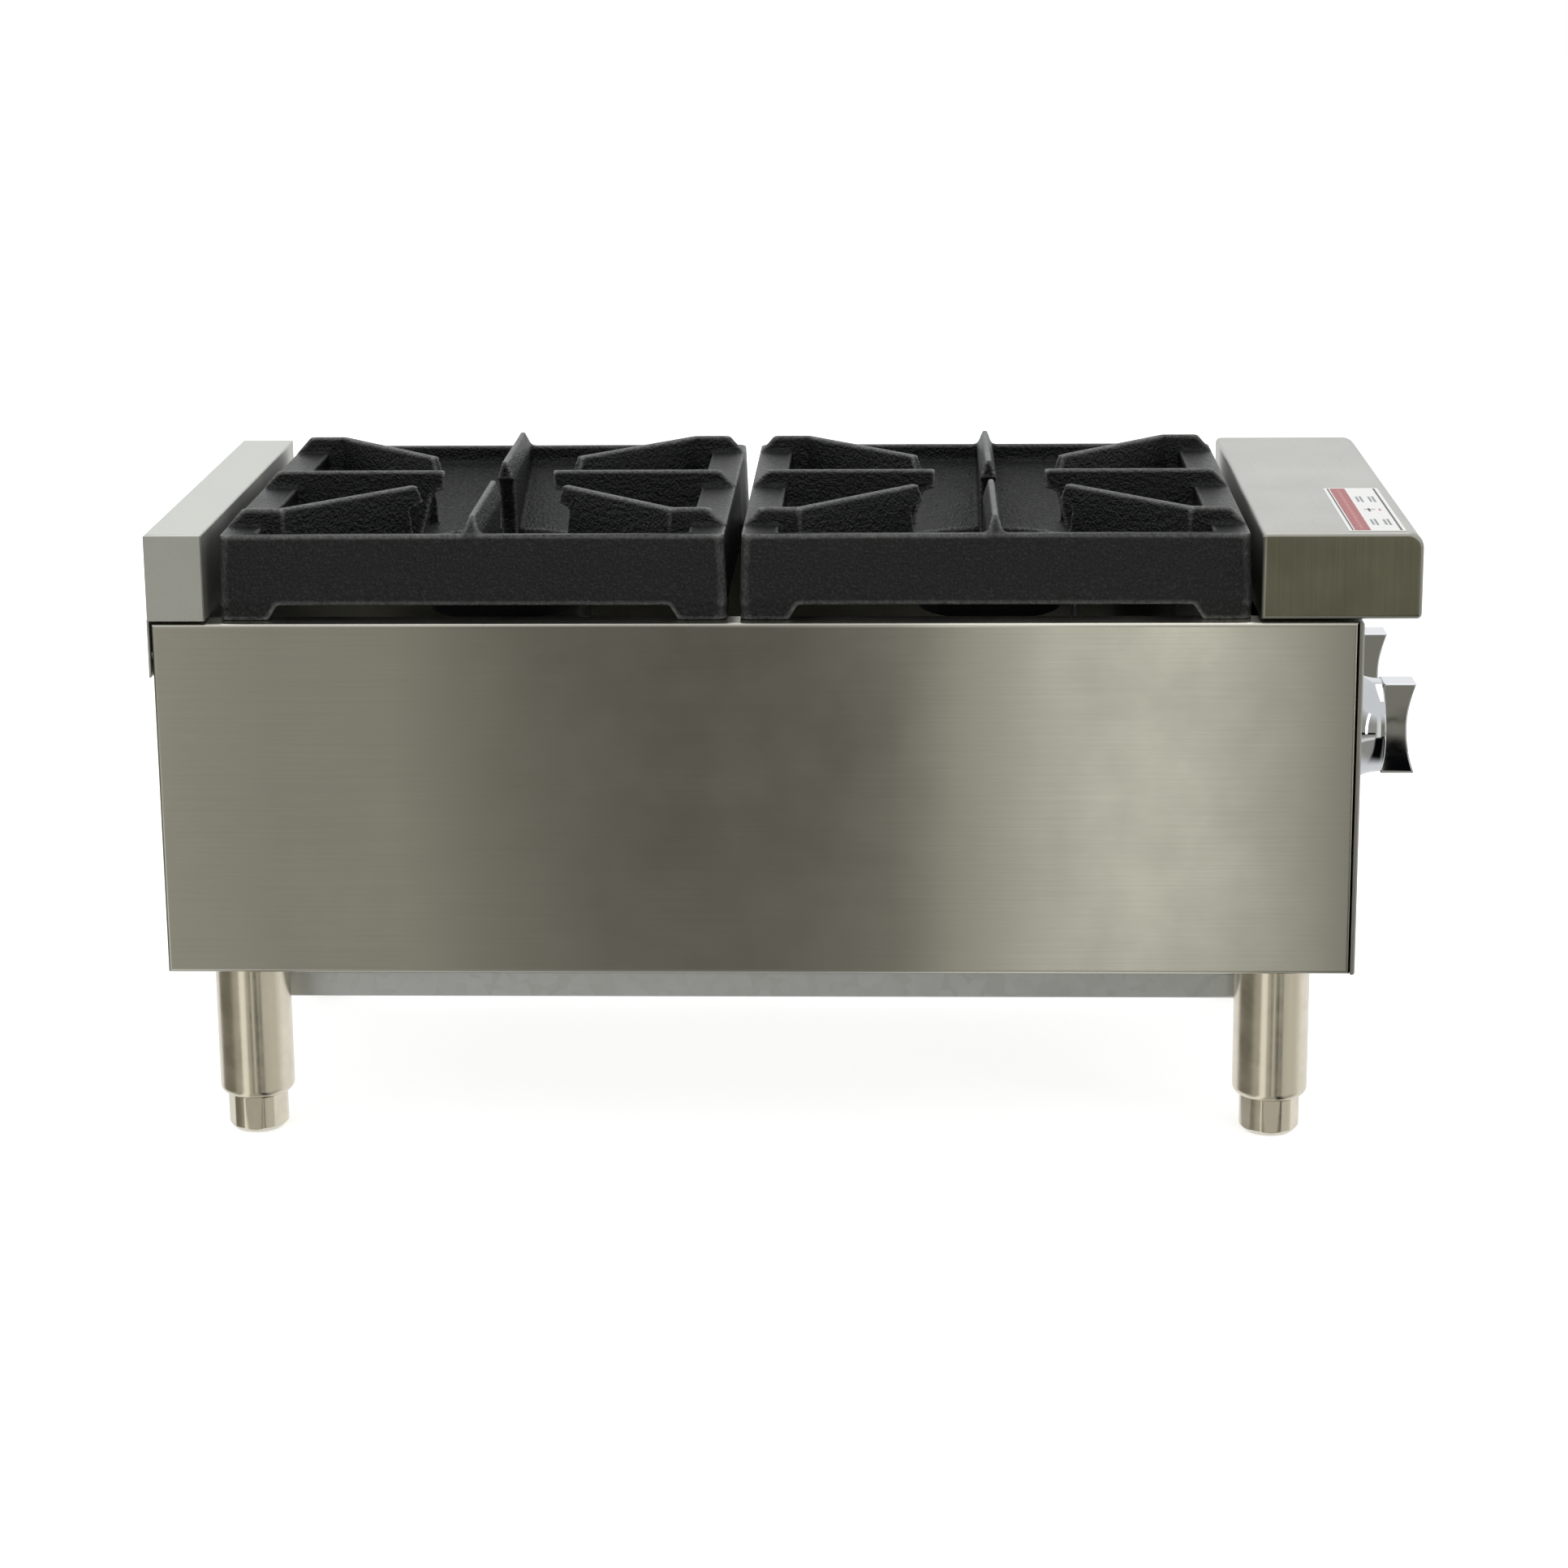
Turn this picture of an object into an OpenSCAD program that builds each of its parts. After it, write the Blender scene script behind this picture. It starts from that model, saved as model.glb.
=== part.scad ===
// Two-burner gas hot plate for a counter: a sheet-steel body on four legs, with one
// burner behind the other, cast-iron grates, a front ledge and a slide-out crumb tray.
// The front faces -Y, +Z is up, and the origin is on the counter under the middle.

/* [Body] */
// Width over the side panels
body_w = 305; // [300:1:330]
// Depth from the back of the rear trim to the tips of the knobs
overall_d = 711; // [705:1:725]
// Height of the side panels
panel_h = 202; // [198:1:215]
// Thickness of the body's sheet metal
sheet = 1.2; // [1:0.1:1.5]
// Outer radius of the long bends
bend_r = 3; // [2:0.5:4]
// Width of the flanges folded in along the side panels
flange_w = 18; // [14:1:20]
// Height of the rear trim and of the front ledge
cap_h = 48.5; // [44:0.5:52]
// Shadow gap between the side panels and what sits over them
cap_gap = 1.5; // [1:0.5:3]
// Depth of the rear trim
trim_d = 32; // [28:1:34]
// Depth of the front ledge
ledge_d = 87.7; // [80:0.1:90]

/* [Legs] */
// Height of the body above the counter
leg_h = 102; // [98:1:115]
// Diameter of a leg's sleeve
sleeve_dia = 42.5; // [40:0.5:43]
// Diameter of an adjustable foot
foot_dia = 34; // [32:1:36]
// Part of the foot that shows under the sleeve
foot_show = 22; // [18:1:26]
// Distance between the leg centres across the body
leg_pitch_x = 245; // [240:1:248]
// Distance between the leg centres front to back
leg_pitch_y = 582.5; // [575:0.5:590]

/* [Grates and burners] */
// Width of a grate, left to right
grate_w = 290; // [284:1:292]
// Length of a grate, front to back
grate_l = 282; // [276:1:283]
// Distance between the two burner centres
burner_pitch = 288.5; // [288:0.5:290]
// Height of the grate rim above the side panels
rim_rise = 48; // [46:1:52]
// Height of the fingers above the rim
finger_rise = 10; // [8:1:12]
// Thickness of a finger
finger_t = 7; // [5:1:8]
// Diameter of the hole in a grate's bowl
bowl_hole_dia = 112; // [108:1:116]
// Diameter of a burner head
head_dia = 88; // [80:1:88]

/* [Controls and gas] */
// Distance between the two knobs
knob_pitch = 127; // [124:1:132]
// Height of the knob centres above the body's bottom edge
knob_rise = 121.5; // [118:0.5:126]
// Diameter of a knob's skirt at the panel
skirt_dia = 71; // [66:1:74]
// Diameter of a knob's front face
face_dia = 54; // [50:1:56]
// Outside diameter of the gas pipe
pipe_dia = 26.7; // [26:0.1:27]
// Radius of the gas inlet's socket
inlet_r = 12.1; // [11.8:0.1:12.3]

/* [Crumb tray] */
// Outside width of the crumb tray
tray_w = 192; // [186:1:193]
// Length of the crumb tray without its lip
tray_l = 588; // [560:1:590]
// Height of the crumb tray
tray_h = 27; // [22:1:28]

/* [Hidden] */

fine = 96;
mid = 48;

// Outline of the body
x_side = body_w / 2;
y_back = overall_d / 2;
knob_reach = 41;
panel_proud = 3;
panel_t = 1.5;
y_panel = -y_back + knob_reach;
y_side_front = y_panel + panel_proud;
y_side_back = y_back - 2;
x_inside = x_side - sheet - 0.2;
x_clear_of_bend = x_side - bend_r - 0.2;
z_body = leg_h;
z_side_top = z_body + panel_h;
z_cap = z_side_top + cap_gap;
z_top = z_cap + cap_h;
y_ledge_front = y_panel - 31;
edge_flange = 12;
label_x = 148;
label_w = 125.5;
label_d = 31;
y_label = y_ledge_front + 9.5;

// Screws
screw_r = 2;
flat_head_r = 3.4;
thread_gap = 0.1;
panel_screw_xs = [-60, 0, 60];
y_panel_screws = y_panel + 16;

// Grates
z_rim = z_side_top + rim_rise;
z_finger = z_rim + finger_rise;
z_skirt = z_side_top + 8.5;
y_front_burner = -113;
y_rear_burner = y_front_burner + burner_pitch;
draft = 1.5;
pad_w = 20;
rim_t = 6;
iron = 5;
z_bowl_edge = z_rim - 11;
z_bowl_hole = z_rim - 36;
hole_r = bowl_hole_dia / 2;
diag_turn_x = 116;
diag_turn_y = 109;

// Gas line and controls
knob_x = knob_pitch / 2;
z_knob = z_body + knob_rise;
z_pipe = z_body + 68;
y_manifold = -y_back + 67.5;
y_mouth = y_manifold + 26;
supply_x = 120;
pipe_r = pipe_dia / 2;
pipe_wall = 2.9;
stem_r = 4;
valve_inlet_r = 7;
pilot_inlet_r = 5;
pilot_x = 30;
pilot_tube_r = 2.4;
z_pilot_line = z_knob - 9.5;
pilot_reach = 52;

// Burners
z_head_top = z_side_top + 4;
head_t = 11;
head_r = head_dia / 2;
bowl_r = head_r - 2;
bowl_deep = 16;
tube_r = 16;
tube_bore_r = 12.5;
mouth_r = 19;
mouth_l = 26;
shutter_gap = 0.08;
rail_w = 30;
rail_h = 20;
z_rail_top = z_knob - tube_r - 1.5;
y_shield = y_mouth + 26;

// Legs
leg_x = leg_pitch_x / 2;
leg_y_front = -271.5;
leg_y_rear = leg_y_front + leg_pitch_y;
sleeve_r = sleeve_dia / 2;
shank_r = 15;
shank_gap = 0.08;
shank_l = 40;
stud_r = 5;
stud_hole_r = 5.3;
base_t = 2.5;
base_w = 60;
z_base = z_body + sheet;

// Crumb tray and its runners
runner_drop = 32;
runner_x = 98.5;
runner_joggle = 2;
z_tray = z_body - runner_drop + sheet + 0.3;
y_tray_front = -278;
tray_lip = 12;

// Extrude a profile drawn in X and Z from y0 to y1
module along_y(y0, y1) {
  translate([0, y1, 0]) rotate([90, 0, 0]) linear_extrude(y1 - y0) children();
}

// Extrude a profile drawn in Y and Z from x0 to x1
module along_x(x0, x1) {
  translate([x0, 0, 0]) rotate([90, 0, 90]) linear_extrude(x1 - x0) children();
}

// Bar between two corners
module box(low, high) {
  translate(low) cube(high - low);
}

// Cylinder along Y from y0 to y1
module rod_y(r, y0, y1, x = 0, z = 0) {
  translate([x, y0, z]) rotate([-90, 0, 0]) cylinder(r = r, h = y1 - y0, $fn = mid);
}

// Cylinder along X from x0 to x1
module rod_x(r, x0, x1, y = 0, z = 0) {
  translate([x0, y, z]) rotate([0, 90, 0]) cylinder(r = r, h = x1 - x0, $fn = mid);
}

// Upright cylinder from z0 to z1
module rod_z(r, z0, z1, x = 0, y = 0) {
  translate([x, y, z0]) cylinder(r = r, h = z1 - z0, $fn = mid);
}

// Rectangle with its own radius at each corner: low left, low right, high right, high left
module round4(w, h, r) {
  at = [[0, 0, 0], [w, 0, 90], [w, h, 180], [0, h, 270]];
  difference() {
    square([w, h]);
    for (i = [0:3]) translate([at[i][0], at[i][1]]) rotate(at[i][2]) difference() {
      translate([-1, -1]) square(r[i] + 1);
      translate([r[i], r[i]]) circle(r[i], $fn = mid);
    }
  }
}

// The same rectangle as folded sheet
module fold4(w, h, r) {
  difference() {
    round4(w, h, r);
    translate([sheet, sheet]) round4(w - 2 * sheet, h - 2 * sheet, [for (v = r) max(v - sheet, 0.2)]);
  }
}

// Side panel at -X: a folded channel with narrow end flanges
module side_panel() {
  color("#9d9a90") {
    along_y(y_side_front, y_side_back) translate([-x_side, z_body]) difference() {
      fold4(2 * flange_w, panel_h, [bend_r, bend_r, bend_r, bend_r]);
      translate([flange_w, -1]) square([2 * flange_w, panel_h + 2]);
    }
    difference() {
      for (y = [y_side_front, y_side_back - sheet])
        box([-x_side + sheet / 2, y, z_body + bend_r],
            [-x_side + edge_flange, y + sheet, z_side_top - bend_r]);
      rear_screw_holes();
      flush_head_holes(rear_screw_places(), y_side_back);
    }
  }
}

module left_side_panel() {
  side_panel();
}

module right_side_panel() {
  mirror([1, 0, 0]) side_panel();
}

// Back sheet inside the side panels' rear flanges, with the gas inlet's hole
module rear_panel() {
  y1 = y_side_back - sheet;
  color("#a8aaa8") difference() {
    box([-x_clear_of_bend, y1 - sheet, z_base + base_t],
        [x_clear_of_bend, y1, z_side_top - sheet]);
    rod_y(pipe_r + 4.5, y1 - 10, y1 + 10, supply_x, z_pipe);
    rear_screw_holes();
  }
}

// Places over X and Z of the screws that hold the rear panel, and of those in the rear trim
function rear_screw_places() =
  [for (side = [-1, 1], z = [z_body + 30, z_body + 101, z_side_top - 50])
    [side * (x_side - 6), z]];
function trim_screw_places() = [for (side = [-1, 1]) [side * (x_side - 6), z_cap - 20]];

// Holes for flat heads, through a sheet whose outer face is at y
module flush_head_holes(places, y) {
  for (p = places)
    rod_y(flat_head_r + thread_gap, y - sheet - 0.5, y + 1, p[0], p[1]);
}

module rear_screw_holes() {
  for (p = concat(rear_screw_places(), trim_screw_places()))
    rod_y(screw_r + thread_gap, y_side_back - 10, y_back - sheet - 0.1, p[0], p[1]);
}

// Front sheet behind the knobs, folded back at its top, its bottom and its sides
module control_panel() {
  inset = x_side - flange_w - 1.5;
  color("#8f8d84") difference() {
    union() {
      box([-x_side, y_panel, z_body], [x_side, y_panel + panel_t, z_side_top]);
      for (x = [-x_side, x_side - sheet])
        box([x, y_panel + 1, z_body], [x + sheet, y_side_front - 0.3, z_side_top]);
      box([-inset, y_panel + 1, z_body], [inset, y_panel + 20, z_body + sheet]);
      box([-inset, y_panel + 1, z_side_top - sheet], [inset, y_panel + 14, z_side_top]);
    }
    for (side = [-1, 1])
      rod_y(7, y_panel - 5, y_panel + 5, side * knob_x, z_knob);
    panel_screw_holes();
  }
}

module panel_screw_holes() {
  for (x = panel_screw_xs)
    rod_z(screw_r + thread_gap, z_body - 5, z_body + 10, x, y_panel_screws);
}

// Cover over the back of the body, with a long flange down the rear
module rear_trim() {
  color("#b9bdb8") {
    difference() {
      along_x(-x_side, x_side) translate([y_back - trim_d, z_cap])
        round4(trim_d, cap_h, [0.1, 0.1, 1.5, 1.5]);
      box([-x_side + sheet, y_back - trim_d + sheet, z_cap - 5],
          [x_side - sheet, y_back - sheet, z_top - sheet]);
    }
    difference() {
      box([-x_side, y_back - sheet, z_cap - 32], [x_side, y_back, z_cap + 2]);
      flush_head_holes(trim_screw_places(), y_back);
    }
  }
}

// Bullnose ledge over the control panel, folded sheet with closed ends
module front_ledge() {
  radii = [3, 0.5, 3, 9];
  color("#a09e95") difference() {
    along_x(-x_side, x_side) translate([y_ledge_front, z_cap]) round4(ledge_d, cap_h, radii);
    along_x(-x_side + sheet, x_side - sheet) translate([y_ledge_front + sheet, z_cap + sheet])
      round4(ledge_d - 2 * sheet, cap_h - 2 * sheet, [for (v = radii) max(v - sheet, 0.2)]);
    box([-x_side + 6, y_panel + 10, z_cap - 5],
        [x_side - 6, y_ledge_front + ledge_d - 12, z_cap + sheet + 1]);
  }
}

// Sticker on the ledge
module instruction_label() {
  color("#f2f2ef")
    box([-label_x, y_label, z_top], [-label_x + label_w, y_label + label_d, z_top + 0.3]);
}

// Sheet between the controls and the burners
module heat_shield() {
  color("#b0b2b0") difference() {
    box([-x_inside, y_shield, z_base + base_t + 12],
        [x_inside, y_shield + sheet, z_side_top - sheet - 6]);
    for (side = [-1, 1]) {
      rod_y(tube_r + 1.5, y_shield - 5, y_shield + 5, side * knob_x, z_knob);
      rod_y(pilot_tube_r + 1.5, y_shield - 5, y_shield + 5, side * pilot_x, z_pilot_line);
    }
    rod_y(pipe_r + 1.5, y_shield - 5, y_shield + 5, supply_x, z_pipe);
  }
}

// Plate across the body that a pair of legs bolts to
module base_plate(y) {
  color("#9b9d9d") difference() {
    box([-x_clear_of_bend, y - base_w / 2, z_base],
        [x_clear_of_bend, y + base_w / 2, z_base + base_t]);
    for (side = [-1, 1]) rod_z(stud_hole_r, z_base - 5, z_base + 10, side * leg_x, y);
    panel_screw_holes();
  }
}

module front_base_plate() {
  base_plate(leg_y_front);
}

module rear_base_plate() {
  base_plate(leg_y_rear);
}

// Channel across the body that the burners stand on
module burner_rail(y) {
  color("#b0b2b0") difference() {
    box([-x_inside, y - rail_w / 2, z_rail_top - rail_h],
        [x_inside, y + rail_w / 2, z_rail_top]);
    box([-x_side, y - rail_w / 2 + 1.5, z_rail_top - rail_h - 1],
        [x_side, y + rail_w / 2 - 1.5, z_rail_top - 1.5]);
  }
}

module front_burner_rail() {
  burner_rail(y_shield + 22);
}

module middle_burner_rail() {
  burner_rail(y_front_burner);
}

module rear_burner_rail() {
  burner_rail(y_rear_burner);
}

// Runner at -X: the crumb tray slides on its lower flange
module tray_runner() {
  low = z_body - runner_drop;
  half = z_body - runner_drop / 2;
  x_out = -runner_x - runner_joggle;
  color("#a9abb0") along_y(leg_y_front - 3, leg_y_rear + 3) {
    translate([-runner_x - 12, z_body]) square([12 + sheet, sheet]);
    translate([-runner_x, half]) square([sheet, z_body + sheet - half]);
    translate([x_out, half]) square([runner_joggle + sheet, sheet]);
    translate([x_out, low]) square([sheet, half + sheet - low]);
    translate([x_out, low]) square([16, sheet]);
  }
}

module left_tray_runner() {
  tray_runner();
}

module right_tray_runner() {
  mirror([1, 0, 0]) tray_runner();
}

// Shallow pan with a finger lip along its front
module crumb_tray() {
  y1 = y_tray_front + tray_l;
  x = tray_w / 2;
  color("#b4b6b8") {
    difference() {
      box([-x, y_tray_front, z_tray], [x, y1, z_tray + tray_h]);
      box([-x + sheet, y_tray_front + sheet, z_tray + sheet],
          [x - sheet, y1 - sheet, z_tray + tray_h + 1]);
    }
    box([-x, y_tray_front - tray_lip, z_tray + tray_h - sheet],
        [x, y_tray_front + sheet / 2, z_tray + tray_h]);
    box([-x, y_tray_front - tray_lip, z_tray + tray_h - 10],
        [x, y_tray_front - tray_lip + sheet, z_tray + tray_h]);
  }
}

// Leg: a sleeve closed at its top, with a stud above and a bore for the foot below
module leg(x, y) {
  round_r = 5;
  color("#b5afa1") translate([x, y, 0]) difference() {
    union() {
      rotate_extrude($fn = fine) {
        translate([0, foot_show + round_r]) square([sleeve_r, z_body - foot_show - round_r]);
        translate([0, foot_show]) square([sleeve_r - round_r, round_r + 1]);
        intersection() {
          translate([sleeve_r - round_r, foot_show + round_r]) circle(round_r, $fn = mid);
          translate([0, foot_show]) square([sleeve_r, 2 * round_r]);
        }
      }
      rod_z(stud_r, z_body - 1, z_base + base_t + 8);
    }
    rod_z(shank_r + shank_gap, foot_show - 1, foot_show + shank_l + 5);
  }
}

module front_left_leg() {
  leg(-leg_x, leg_y_front);
}

module front_right_leg() {
  leg(leg_x, leg_y_front);
}

module rear_left_leg() {
  leg(-leg_x, leg_y_rear);
}

module rear_right_leg() {
  leg(leg_x, leg_y_rear);
}

// Adjustable foot: a round pad with spanner flats, on a shank inside the sleeve
module foot(x, y) {
  r = foot_dia / 2;
  chamfer = 3;
  color("#b9b3a6") translate([x, y, 0]) {
    intersection() {
      rotate_extrude($fn = fine) polygon([[0, 0], [r - chamfer, 0], [r, chamfer],
        [r, foot_show - 0.1], [0, foot_show - 0.1]]);
      rotate(30) cylinder(r = r * 1.09, h = foot_show, $fn = 6);
    }
    rod_z(shank_r, foot_show - 1, foot_show + shank_l);
  }
}

module front_left_foot() {
  foot(-leg_x, leg_y_front);
}

module front_right_foot() {
  foot(leg_x, leg_y_front);
}

module rear_left_foot() {
  foot(-leg_x, leg_y_rear);
}

module rear_right_foot() {
  foot(leg_x, leg_y_rear);
}

module leg_nuts() {
  color("#8a8a86") for (side = [-1, 1], y = [leg_y_front, leg_y_rear])
    translate([side * leg_x, y, z_base + base_t]) difference() {
      cylinder(r = 9, h = 6, $fn = 6);
      translate([0, 0, -1]) cylinder(r = stud_r + thread_gap, h = 10, $fn = mid);
    }
}

// Height of the middle of the bowl's iron at a distance from the grate's centre
function bowl_mid(r) =
  z_bowl_hole - iron / 2
  + (z_bowl_edge - z_bowl_hole) * (r - hole_r) / (grate_l / 2 - rim_t - hole_r);

// Side view of a finger that runs in to the centre, drawn over radius and height
module finger_outline(r_out, r_tip, r_web, r_foot, nose) {
  polygon([
    [r_out, bowl_mid(r_out) - 4], [r_out, z_rim], [r_out - finger_rise * 0.85, z_finger],
    [r_tip, z_finger], [r_tip - nose, z_finger - 11], [r_web, z_finger - 13],
    [r_foot - 2, z_bowl_hole + 10], [r_foot, z_bowl_hole - iron + 1],
    [max(r_foot, hole_r) + 2, z_bowl_hole - iron + 1]
  ]);
}

// One finger at an angle about the grate's centre
module finger(angle, r_out, r_tip, r_web, r_foot, nose) {
  rotate(angle) rotate([90, 0, 0]) linear_extrude(finger_t, center = true)
    finger_outline(r_out, r_tip, r_web, r_foot, nose);
}

// Straight start of a corner finger, on the wide rim
module corner_boss() {
  r_out = grate_l / 2 - draft;
  translate([diag_turn_x, 0, 0]) rotate([90, 0, 90]) linear_extrude(finger_t + 1, center = true)
    polygon([[r_out - 0.2, z_rim - 5], [r_out - 0.2, z_rim],
      [r_out - finger_rise * 0.85, z_finger], [diag_turn_y, z_finger],
      [diag_turn_y, z_bowl_edge - 3]]);
}

// Grate: a drafted box on corner feet, a bowl with a hole, and eight fingers
module grate(y) {
  w = grate_w / 2;
  l = grate_l / 2;
  foot_l = 27;
  foot_w = 27;
  color("#26282a") translate([0, y, 0]) {
    difference() {
      hull() {
        box([-w, -l, z_skirt], [w, l, z_skirt + 1]);
        box([-w + draft, -l + draft, z_rim - 1], [w - draft, l - draft, z_rim]);
      }
      box([-w + rim_t + 1, -l + rim_t + 1, z_skirt - 5], [w - rim_t - 1, l - rim_t - 1, z_rim - 18]);
      box([-w + rim_t + 1, -l + pad_w + 1, z_rim - 19], [w - rim_t - 1, l - pad_w - 1, z_rim + 5]);
    }
    difference() {
      hull() {
        box([-w + rim_t, -l + rim_t, z_bowl_edge - iron], [w - rim_t, l - rim_t, z_bowl_edge]);
        rod_z(hole_r + 4, z_bowl_hole - iron, z_bowl_hole);
      }
      hull() {
        box([-w + rim_t + 2, -l + pad_w, z_bowl_edge], [w - rim_t - 2, l - pad_w, z_bowl_edge + 1]);
        rod_z(hole_r + 2, z_bowl_hole, z_bowl_edge + 1);
      }
      rod_z(hole_r, z_bowl_hole - iron - 1, z_bowl_edge + 5);
    }
    for (sx = [0, 1], sy = [0, 1]) mirror([sx, 0, 0]) mirror([0, sy, 0]) {
      hull() {
        box([w - foot_w, l - foot_l, z_side_top], [w - 0.3, l - 0.3, z_side_top + 1]);
        box([w - foot_w - 4, l - foot_l - 6, z_skirt + 1], [w - 0.3, l - 0.3, z_skirt + 2]);
      }
      corner_boss();
      finger(atan2(diag_turn_y, diag_turn_x), norm([diag_turn_x, diag_turn_y]), 64, 59, 70, 5);
    }
    for (side = [0, 180]) {
      finger(side, w - draft - 0.2, 30, 37, 47, 0);
      finger(side + 90, l - draft - 0.2, 32, 39, 47, 0);
    }
  }
}

module front_grate() {
  grate(y_front_burner);
}

module rear_grate() {
  grate(y_rear_burner);
}

// Burner head: a ported cap with a ring that drops into the burner's bowl
module burner_head(y) {
  ports = 24;
  z0 = z_head_top - head_t;
  color("#3a3b3c") translate([0, y, 0]) difference() {
    union() {
      rotate_extrude($fn = fine) polygon([[0, z0], [head_r, z0], [head_r, z_head_top - 3],
        [head_r - 6, z_head_top], [0, z_head_top]]);
      rod_z(bowl_r - 3.2, z0 - 5, z0 + 1);
    }
    rod_z(bowl_r - 7, z0 - 6, z0 + 4);
    for (i = [0:ports - 1]) rotate(i * 360 / ports)
      translate([bowl_r - 9, -1, z0 - 1]) cube([12, 2, 5]);
  }
}

module front_burner_head() {
  burner_head(y_front_burner);
}

module rear_burner_head() {
  burner_head(y_rear_burner);
}

// Tube, neck and riser of a burner, one radius throughout, for the casting or for its bore
module burner_core(side, y, r) {
  rod_y(r, y_mouth, y, side * knob_x, z_knob);
  translate([side * knob_x, y, z_knob]) sphere(r, $fn = mid);
  rod_x(r, min(0, side * knob_x), max(0, side * knob_x), y, z_knob);
  translate([0, y, z_knob]) sphere(r, $fn = mid);
  rod_z(r, z_knob, z_head_top - head_t - bowl_deep / 2, 0, y);
}

// Burner body: a mixing tube from the front, a neck across, and a riser up to a bowl
module burner_body(side, y) {
  z1 = z_head_top - head_t;
  color("#3f4041") difference() {
    union() {
      burner_core(side, y, tube_r);
      rod_y(mouth_r, y_mouth, y_mouth + mouth_l - 4, side * knob_x, z_knob);
      rod_z(bowl_r, z1 - bowl_deep, z1, 0, y);
      box([-12, y - 13, z_rail_top], [12, y + 13, z_knob - tube_r + 4]);
      box([side * knob_x - 10, y_shield + 10, z_rail_top],
          [side * knob_x + 10, y_shield + 34, z_knob - tube_r + 3]);
    }
    burner_core(side, y, tube_bore_r);
    rod_y(mouth_r - 3, y_mouth - 1, y_mouth + mouth_l - 8, side * knob_x, z_knob);
    rod_z(bowl_r - 3, z1 - bowl_deep + 3, z1 + 1, 0, y);
    for (up = [-1, 1])
      translate([side * knob_x - 9, y_mouth + 5, z_knob + (up > 0 ? 0 : -mouth_r - 1)])
        cube([18, 12, mouth_r + 1]);
  }
}

module front_burner_body() {
  burner_body(1, y_front_burner);
}

module rear_burner_body() {
  burner_body(-1, y_rear_burner);
}

// Air shutter: a ring that turns on the mixing tube's mouth, with two windows
module air_shutter(side) {
  color("#a5a7a6") translate([side * knob_x, 0, z_knob]) difference() {
    rod_y(mouth_r + 1.8, y_mouth + 0.5, y_mouth + mouth_l - 5);
    rod_y(mouth_r + shutter_gap, y_mouth - 1, y_mouth + mouth_l);
    for (up = [-1, 1])
      translate([-9, y_mouth + 5, up > 0 ? 5 : -mouth_r - 6]) cube([18, 12, mouth_r + 1]);
  }
}

module front_air_shutter() {
  air_shutter(1);
}

module rear_air_shutter() {
  air_shutter(-1);
}

// Gas manifold across the front, with tapped holes for the valves
module manifold_pipe() {
  x0 = -128;
  x1 = supply_x - 14;
  color("#5c5f61") difference() {
    rod_x(pipe_r, x0, x1, y_manifold, z_pipe);
    rod_x(pipe_r - pipe_wall, x0 - 1, x1 + 1, y_manifold, z_pipe);
    for (side = [-1, 1]) {
      rod_z(valve_inlet_r + thread_gap, z_pipe, z_pipe + 30, side * knob_x, y_manifold);
      rod_z(pilot_inlet_r + thread_gap, z_pipe, z_pipe + 30, side * pilot_x, y_manifold);
    }
  }
}

module manifold_plug() {
  color("#6a6c6d") {
    rod_x(pipe_r - pipe_wall - thread_gap, -129, -114, y_manifold, z_pipe);
    translate([-136, y_manifold, z_pipe]) rotate([0, 90, 0]) cylinder(r = 14, h = 8, $fn = 6);
  }
}

// Two plates that hold the manifold over the front base plate
module manifold_brackets() {
  hold_r = pipe_r + thread_gap;
  color("#9b9d9d") for (x = [-95, 90]) difference() {
    union() {
      box([x, y_manifold - 12, z_base + base_t], [x + 3, y_manifold + 22, z_pipe + 18]);
      box([x, y_manifold - 12, z_base + base_t], [x + 16, y_manifold + 22, z_base + base_t + 3]);
    }
    rod_x(hold_r, x - 1, x + 4, y_manifold, z_pipe);
  }
}

module supply_elbow() {
  r = pipe_r + 4;
  color("#6a6c6d") difference() {
    union() {
      translate([supply_x, y_manifold, z_pipe]) sphere(r, $fn = mid);
      rod_x(r, supply_x - 24, supply_x, y_manifold, z_pipe);
      rod_y(r, y_manifold, y_manifold + 24, supply_x, z_pipe);
    }
    rod_x(pipe_r + thread_gap, supply_x - 25, supply_x - 13.5, y_manifold, z_pipe);
    rod_x(pipe_r - pipe_wall, supply_x - 15, supply_x, y_manifold, z_pipe);
    rod_y(pipe_r - pipe_wall, y_manifold, y_manifold + 15, supply_x, z_pipe);
    rod_y(pipe_r + thread_gap, y_manifold + 13.5, y_manifold + 25, supply_x, z_pipe);
  }
}

module supply_pipe() {
  color("#5c5f61") difference() {
    rod_y(pipe_r, y_manifold + 14, y_side_back - 24, supply_x, z_pipe);
    rod_y(pipe_r - pipe_wall, y_manifold, y_side_back, supply_x, z_pipe);
  }
}

// Socket in the rear panel for the customer's gas line
module inlet_coupling() {
  color("#74726c") difference() {
    rod_y(pipe_r + 4, y_side_back - 42, y_side_back, supply_x, z_pipe);
    rod_y(pipe_r + thread_gap, y_side_back - 43, y_side_back - 23.5, supply_x, z_pipe);
    rod_y(pipe_r - pipe_wall, y_side_back - 25, y_side_back - 19, supply_x, z_pipe);
    rod_y(inlet_r, y_side_back - 20, y_side_back + 1, supply_x, z_pipe);
  }
}

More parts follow.
